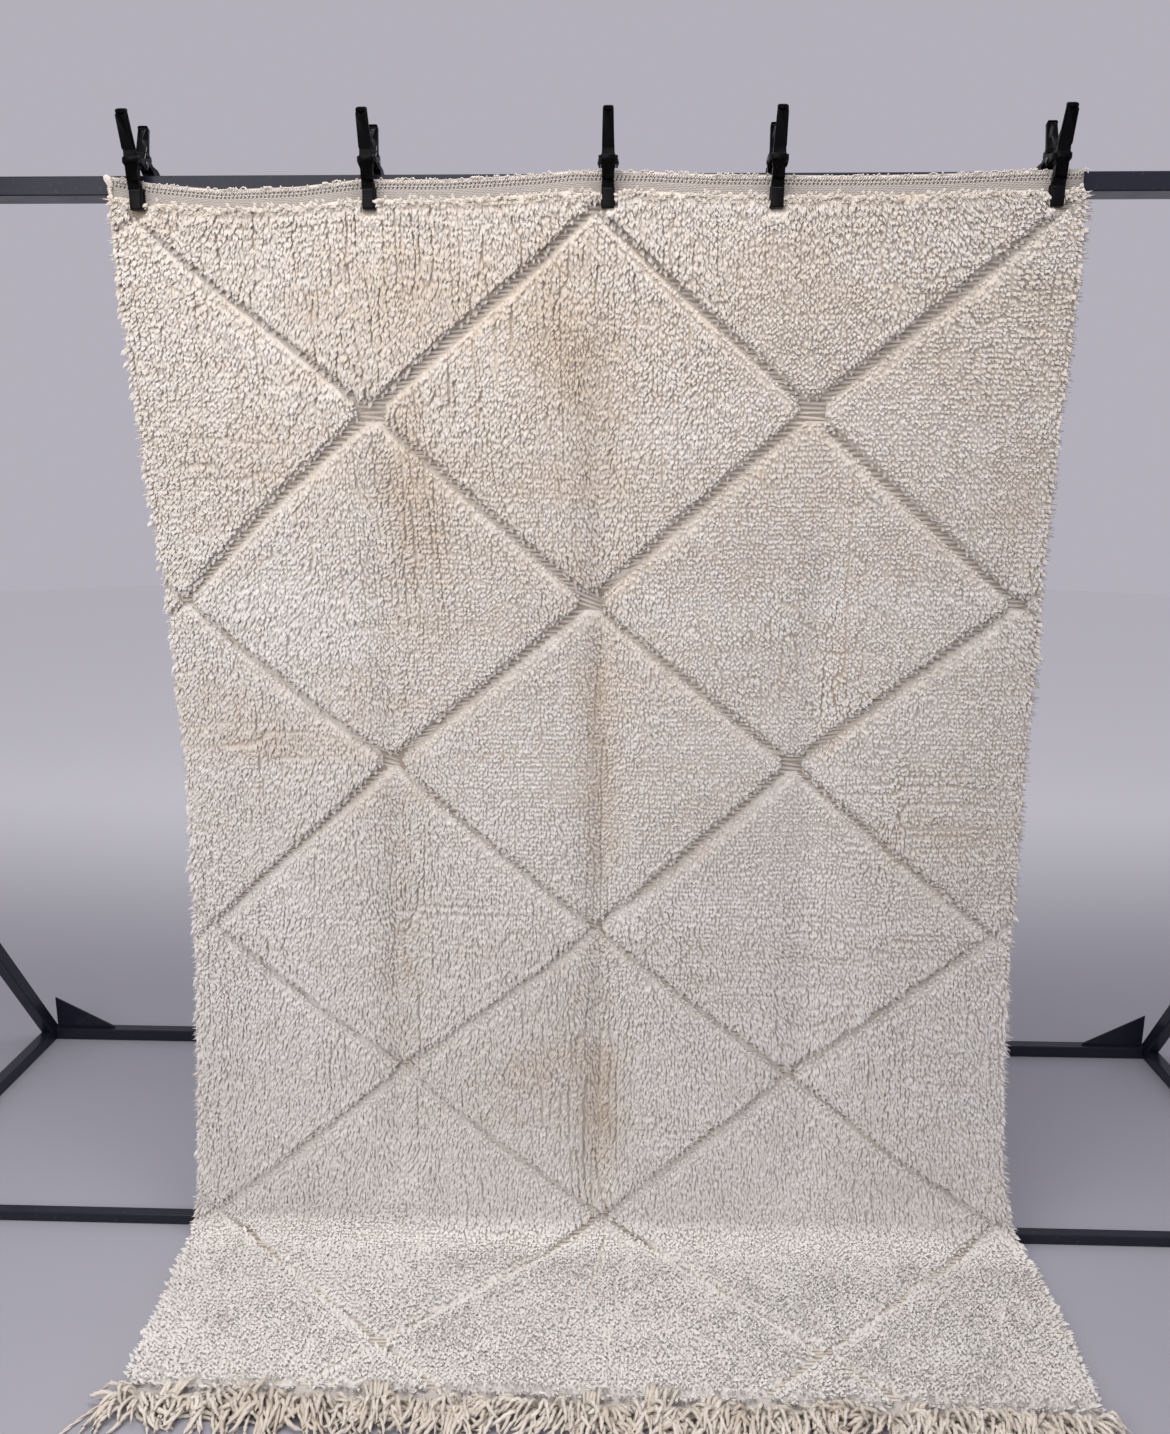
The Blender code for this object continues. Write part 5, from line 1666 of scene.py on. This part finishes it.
def handle_shape(spine, rows, outward, look):
    """A handle with rounded corners, a channel on both faces and a small hole."""
    bm = bmesh.new()
    handle = strap(bm, rows, HANDLE_HALF_WIDTHS)
    round_off_end(bm, handle, rows[0])
    channel(bm, list(bm.faces), outward, 0.0024, -0.0016)
    channel(bm, list(bm.faces), -outward, 0.0018, -0.0040)
    round_sharp_edges(bm, look.edge_rounding)
    tip = spine_point(spine[1])
    down = (spine_point(spine[2]) - tip).normalized()
    hole = (HANG_HOLE, 0.04, tip - down * 0.001, (0.0, down.z, -down.y))
    return drilled(mesh_of(bm, "handle"), hole)


def round_sharp_edges(bm, rounding):
    """Round every sharp edge of a closed shape."""
    bmesh.ops.recalc_face_normals(bm, faces=bm.faces[:])
    sharp = [edge for edge in bm.edges if edge.calc_face_angle(0.0) > 0.6]
    round_edges(bm, sharp, rounding, 2)


def arm_shape(spine, ear_inner, towards, look):
    """One moulded arm: channelled handle, shoulder with two ears, and panelled jaw."""
    upper, lower, below = spine[SHOULDER_AT:SHOULDER_AT + 3]
    handle_rows = spine[:SHOULDER_AT + 1] + (between_rows(upper, lower, 0.7),)
    jaw_rows = (between_rows(upper, lower, 0.4),) + spine[SHOULDER_AT + 1:]
    outward = Vector((0.0, -towards, 0.0))
    bm = bmesh.new()
    jaw = strap(bm, jaw_rows, JAW_HALF_WIDTHS)
    channel(bm, jaw, outward, 0.0026, 0.0013)
    channel(bm, list(bm.faces), -outward, 0.0020, -0.0020)
    block_rows = (between_rows(upper, lower, 0.45), lower, between_rows(lower, below, 0.25))
    strap(bm, [(y, z, half + 0.0008) for y, z, half in block_rows],
          (BLOCK_HALF_WIDTH, BLOCK_HALF_WIDTH, JAW_HALF_WIDTHS[1]))
    round_sharp_edges(bm, look.edge_rounding)
    roots = [between_rows(upper, lower, part) for part in (0.55, 0.98)]
    add_cross_bar(bm, roots, ear_inner)
    add_ledges(bm, jaw_rows, towards)
    for mesh in (handle_shape(spine, handle_rows, outward, look),
                 ear_shape(roots, ear_inner, -1.0), ear_shape(roots, ear_inner, 1.0)):
        bm.from_mesh(mesh)
        bpy.data.meshes.remove(mesh)
    mesh = bpy.data.meshes.new("moulded_arm")
    bm.to_mesh(mesh)
    bm.free()
    return mesh


def round_off_end(bm, faces, end_row):
    """Round the two corners of a strap's free end."""
    reach = end_row[2] * 1.5
    corners = [edge for face in faces for edge in face.edges
               if abs(edge.verts[0].co.x - edge.verts[1].co.x) < 0.0001
               and all(abs(vert.co.x) > 0.001 for vert in edge.verts)
               and all((spine_point(vert.co.yz) - spine_point(end_row)).length < reach
                       for vert in edge.verts)]
    round_edges(bm, corners, 0.0030, 4)


def add_cross_bar(bm, root_rows, ear_inner):
    """The thick web that joins the arm to the roots of its ears."""
    upper, lower = (spine_point(row) for row in root_rows)
    middle = (upper + lower) / 2.0
    tall = (upper - lower).length / 2.0
    size = Vector((ear_inner + EAR_THICKNESS - 0.0002, 0.0030, tall))
    round_block(bm, middle, size, 0.0012)


def add_ledges(bm, jaw_rows, towards):
    """A ledge over the jaw's tip, and grip bars on the tip."""
    ledge = spine_point(jaw_rows[-2])
    half = jaw_rows[-2][2]
    size = Vector((JAW_HALF_WIDTHS[-1], half + 0.0010, 0.0009))
    round_block(bm, ledge, size, 0.0005)
    foot = spine_point(jaw_rows[-1])
    for height in GRIP_BARS:
        middle = foot + Vector((0.0, -towards * jaw_rows[-1][2], height))
        size = Vector((JAW_HALF_WIDTHS[-1] - 0.002, 0.0022, 0.0008))
        round_block(bm, middle, size, 0.0004)


def drilled(mesh, hole):
    """Cut a round hole through a closed mesh; a hole is radius, length, place and way."""
    radius, long, place, along = hole
    base = bpy.data.objects.new("base", mesh)
    bm = bmesh.new()
    bmesh.ops.create_cone(bm, cap_ends=True, segments=24, radius1=radius, radius2=radius,
                          depth=long)
    turn = Vector((0.0, 0.0, 1.0)).rotation_difference(Vector(along)).to_matrix().to_4x4()
    bm.transform(Matrix.Translation(place) @ turn)
    tool = bpy.data.objects.new("tool", mesh_of(bm, "tool"))
    for ob in (base, tool):
        bpy.context.scene.collection.objects.link(ob)
    drill = base.modifiers.new("Drill", "BOOLEAN")
    drill.operation = "DIFFERENCE"
    drill.solver = "EXACT"
    drill.object = tool
    return applied(base, tool)


def pad_shape(low, high, towards):
    """A rubber pad: rounded block with gripping ribs on the face that bites."""
    bm = bmesh.new()
    round_block(bm, (low + high) / 2.0, (high - low) / 2.0, 0.0022, 4)
    face_y = high.y if towards > 0.0 else low.y
    for step in range(PAD_RIBS):
        z = low.z + 0.004 + step * (high.z - low.z - 0.008) / (PAD_RIBS - 1)
        middle = Vector((0.0, face_y - towards * 0.0010, z))
        size = Vector(((high.x - low.x) / 2.0 - 0.002, 0.0010, 0.0011))
        round_block(bm, middle, size, 0.0006)
    return mesh_of(bm, "rubber_pad")


def copy_at(mesh, x):
    """A copy of a mesh, moved sideways."""
    made = mesh.copy()
    made.transform(Matrix.Translation((x, 0.0, 0.0)))
    return made


def make_clamps(look):
    """Moulded arms, rubber pads, pins and coiled springs."""
    nylon = hard_material("Black nylon", look.nylon, 0.36, 900.0, 0.00006, 0.12, 0.01,
                          {"Specular IOR Level": 0.10})
    rubber = hard_material("Black rubber", look.rubber, 0.72, 600.0, 0.0002, 0.10, 0.03,
                           {"Specular IOR Level": 0.12})
    steel = hard_material("Blued steel", look.steel, 0.32, 500.0, 0.00004, 0.15, 0.2,
                          {"Specular IOR Level": 0.22, "Metallic": 1.0})
    arms = {"front": arm_shape(FRONT_ARM, FRONT_EAR, 1.0, look),
            "back": arm_shape(BACK_ARM, BACK_EAR, -1.0, look)}
    middle = Vector((CLAMP_X[0], 0.0, 0.0))
    pads = {}
    for side, towards in (("front", 1.0), ("back", -1.0)):
        low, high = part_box("clamp_1_%s_pad" % side)
        pads[side] = pad_shape(low - middle, high - middle, towards)
    for k, x in enumerate(CLAMP_X, start=1):
        for side in ("front", "back"):
            arm = new_piece("moulded_%s_arm_%d" % (side, k), copy_at(arms[side], x), nylon,
                            "black_nylon", "clamp_%d_%s_arm" % (k, side))
            smooth_by_angle(arm)
            pad = new_piece("rubber_%s_pad_%d" % (side, k), copy_at(pads[side], x), rubber,
                            "black_rubber", "clamp_%d_%s_pad" % (k, side))
            smooth_by_angle(pad)
        soften_node("clamp_%d_pin" % k, look.edge_rounding * 0.5, 2, steel)
        make_spring(k, look, steel)


def smooth_by_angle(ob):
    """Shade softly, but keep sharp corners sharp."""
    ob.data.shade_smooth()
    bm = bmesh.new()
    bm.from_mesh(ob.data)
    for edge in bm.edges:
        edge.smooth = edge.calc_face_angle(0.0) < math.radians(40.0)
    bm.to_mesh(ob.data)
    bm.free()


def make_spring(k, look, material):
    """A clamp's torsion spring: coils on the pin and two legs up the handles."""
    name = "clamp_%d_spring" % k
    low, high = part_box(name)
    centre = (low + high) / 2.0
    wire = look.spring_wire / 2.0
    reach = (high.y - low.y) / 2.0 - wire
    half = (high.x - low.x) / 2.0 - wire
    angle = np.linspace(0.0, 2.0 * math.pi * SPRING_TURNS, SPRING_TURNS * 14)
    coil = np.stack((centre.x - half + 2.0 * half * angle / angle[-1],
                     centre.y + reach * np.cos(angle),
                     centre.z + reach * np.sin(angle)), axis=1)
    front_leg = np.array((coil[0][0], centre.y - 0.030, centre.z + 0.036))
    back_leg = np.array((coil[-1][0], centre.y + 0.024, centre.z + 0.032))
    line = np.vstack((front_leg, front_leg * 0.4 + coil[0] * 0.6, coil,
                      back_leg * 0.4 + coil[-1] * 0.6, back_leg))
    made = sweep([(line, np.full(len(line), wire), np.zeros(len(line)), 0.0)], 3, 1.0)
    new_piece("spring_coil_%d" % k, made, material, "steel", name)


# Stage ----------------------------------------------------------------------------------------
def make_camera():
    """The camera, as the photograph was taken."""
    forward = Vector((-math.sin(CAMERA_YAW) * math.cos(CAMERA_PITCH),
                      math.cos(CAMERA_YAW) * math.cos(CAMERA_PITCH),
                      -math.sin(CAMERA_PITCH)))
    level_right = Vector((math.cos(CAMERA_YAW), math.sin(CAMERA_YAW), 0.0))
    level_up = level_right.cross(forward)
    right = level_right * math.cos(CAMERA_ROLL) + level_up * math.sin(CAMERA_ROLL)
    up = level_up * math.cos(CAMERA_ROLL) - level_right * math.sin(CAMERA_ROLL)
    data = bpy.data.cameras.new("camera")
    data.lens = CAMERA_LENS
    data.sensor_width = 36.0
    ob = bpy.data.objects.new("camera", data)
    bpy.context.scene.collection.objects.link(ob)
    ob.matrix_world = Matrix.Translation(CAMERA_PLACE) @ Matrix(
        (right, up, -forward)).transposed().to_4x4()
    bpy.context.scene.camera = ob


def add_light(name, place, aim, size, power, tint):
    """A soft square light that looks at a point."""
    data = bpy.data.lights.new(name, "AREA")
    data.shape = "RECTANGLE"
    data.size, data.size_y = size
    data.energy = power
    data.color = tint
    ob = bpy.data.objects.new(name, data)
    ob.location = place
    ob.rotation_euler = (Vector(aim) - Vector(place)).to_track_quat("-Z", "Y").to_euler()
    bpy.context.scene.collection.objects.link(ob)


def floor_material(look):
    """A plain pale floor, which turns as pale as the room far behind the stand."""
    material, tree, shader = new_material("Plain floor", {"Roughness": 0.6})
    place = object_place(tree)
    mottle = noise_of(place, scale=1.4, detail=4.0)
    paler = in_range(parts_of(place)[1], *FLOOR_FADE, interpolation_type="SMOOTHSTEP")
    near = tuple(look.floor)
    tint = mixed(mottle, near, tuple(part * 0.96 for part in near))
    set_inputs(tree, shader, {"Base Color": mixed(paler, tint, FAR_FLOOR)})
    return material


def make_floor(look):
    """A round floor, just below the foot of the stand."""
    bm = bmesh.new()
    bmesh.ops.create_circle(bm, cap_ends=True, segments=96, radius=FLOOR_RADIUS)
    bmesh.ops.translate(bm, vec=(0.0, 0.0, -FLOOR_DROP), verts=bm.verts[:])
    mesh = mesh_of(bm, "floor")
    if mesh.polygons[0].normal.z < 0.0:
        mesh.flip_normals()
    mesh.materials.append(floor_material(look))
    floor = bpy.data.objects.new("floor", mesh)
    bpy.context.scene.collection.objects.link(floor)


def make_stage(look):
    """The floor, the room's soft light, the three lights and the camera."""
    make_floor(look)
    world = bpy.data.worlds.new("Room")
    world.use_nodes = True
    background = world.node_tree.nodes["Background"]
    background.inputs["Color"].default_value = (*look.sky, 1.0)
    background.inputs["Strength"].default_value = look.sky_strength
    bpy.context.scene.world = world
    bpy.context.scene.view_settings.view_transform = "Standard"
    for name, place, aim, size, tint in LIGHTS:
        add_light(name, place, aim, size, getattr(look, name + "_power"), tint)
    make_camera()


# Add-on ---------------------------------------------------------------------------------------
class RUG_OT_stage(bpy.types.Operator):
    """Make the floor, the light and the camera"""

    bl_idname = "rug.stage"
    bl_label = "Stage"

    def execute(self, context):
        make_stage(context.scene.stage_look)
        return {"FINISHED"}


class RUG_OT_cloth(bpy.types.Operator):
    """Weave the ground of the rug"""

    bl_idname = "rug.cloth"
    bl_label = "Woven ground"

    def execute(self, context):
        make_cloth(context.scene.rug_look)
        return {"FINISHED"}


class RUG_OT_pile(bpy.types.Operator):
    """Tie the knots of the pile and the locks of the side edges"""

    bl_idname = "rug.pile"
    bl_label = "Pile"

    def execute(self, context):
        make_pile(context.scene.rug_look)
        make_edge_locks(context.scene.rug_look)
        make_packed_pile(context.scene.rug_look)
        make_rim_locks()
        return {"FINISHED"}


class RUG_OT_wefts(bpy.types.Operator):
    """Lay the bare wefts of the lattice lines"""

    bl_idname = "rug.wefts"
    bl_label = "Lattice wefts"

    def execute(self, context):
        make_wefts(context.scene.rug_look)
        return {"FINISHED"}


class RUG_OT_hem(bpy.types.Operator):
    """Overcast the top edge"""

    bl_idname = "rug.hem"
    bl_label = "Hem"

    def execute(self, context):
        make_hem(context.scene.rug_look)
        return {"FINISHED"}


class RUG_OT_fringe(bpy.types.Operator):
    """Lay out the warp ends"""

    bl_idname = "rug.fringe"
    bl_label = "Fringe"

    def execute(self, context):
        make_fringe(context.scene.rug_look)
        return {"FINISHED"}


class RUG_OT_stand(bpy.types.Operator):
    """Paint the stand"""

    bl_idname = "rug.stand"
    bl_label = "Stand"

    def execute(self, context):
        make_stand(context.scene.hardware_look)
        return {"FINISHED"}


class RUG_OT_clamps(bpy.types.Operator):
    """Finish the spring clamps"""

    bl_idname = "rug.clamps"
    bl_label = "Clamps"

    def execute(self, context):
        make_clamps(context.scene.hardware_look)
        return {"FINISHED"}


class RUG_PT_panel(bpy.types.Panel):
    """Lists the pieces of the rug and its stand"""

    bl_label = "Rug on a stand"
    bl_idname = "RUG_PT_panel"
    bl_space_type = "VIEW_3D"
    bl_region_type = "UI"
    bl_category = "Rug"

    def draw(self, context):
        for operator in OPERATORS:
            self.layout.operator(operator.bl_idname)


OPERATORS = (RUG_OT_stage, RUG_OT_stand, RUG_OT_clamps, RUG_OT_cloth, RUG_OT_pile,
             RUG_OT_wefts, RUG_OT_hem, RUG_OT_fringe)
LOOKS = (("rug_look", RugLook), ("hardware_look", HardwareLook), ("stage_look", StageLook))


def register():
    """Register the settings, the operators and the panel."""
    for name, look in LOOKS:
        bpy.utils.register_class(look)
        setattr(bpy.types.Scene, name, bpy.props.PointerProperty(type=look))
    for operator in OPERATORS:
        bpy.utils.register_class(operator)
    bpy.utils.register_class(RUG_PT_panel)


def unregister():
    """Undo register."""
    bpy.utils.unregister_class(RUG_PT_panel)
    for operator in reversed(OPERATORS):
        bpy.utils.unregister_class(operator)
    for name, look in reversed(LOOKS):
        delattr(bpy.types.Scene, name)
        bpy.utils.unregister_class(look)


def main():
    """Make every piece."""
    register()
    bpy.ops.rug.stage()
    bpy.ops.rug.stand()
    bpy.ops.rug.clamps()
    bpy.ops.rug.cloth()
    bpy.ops.rug.pile()
    bpy.ops.rug.wefts()
    bpy.ops.rug.hem()
    bpy.ops.rug.fringe()


if __name__ == "__main__":
    main()
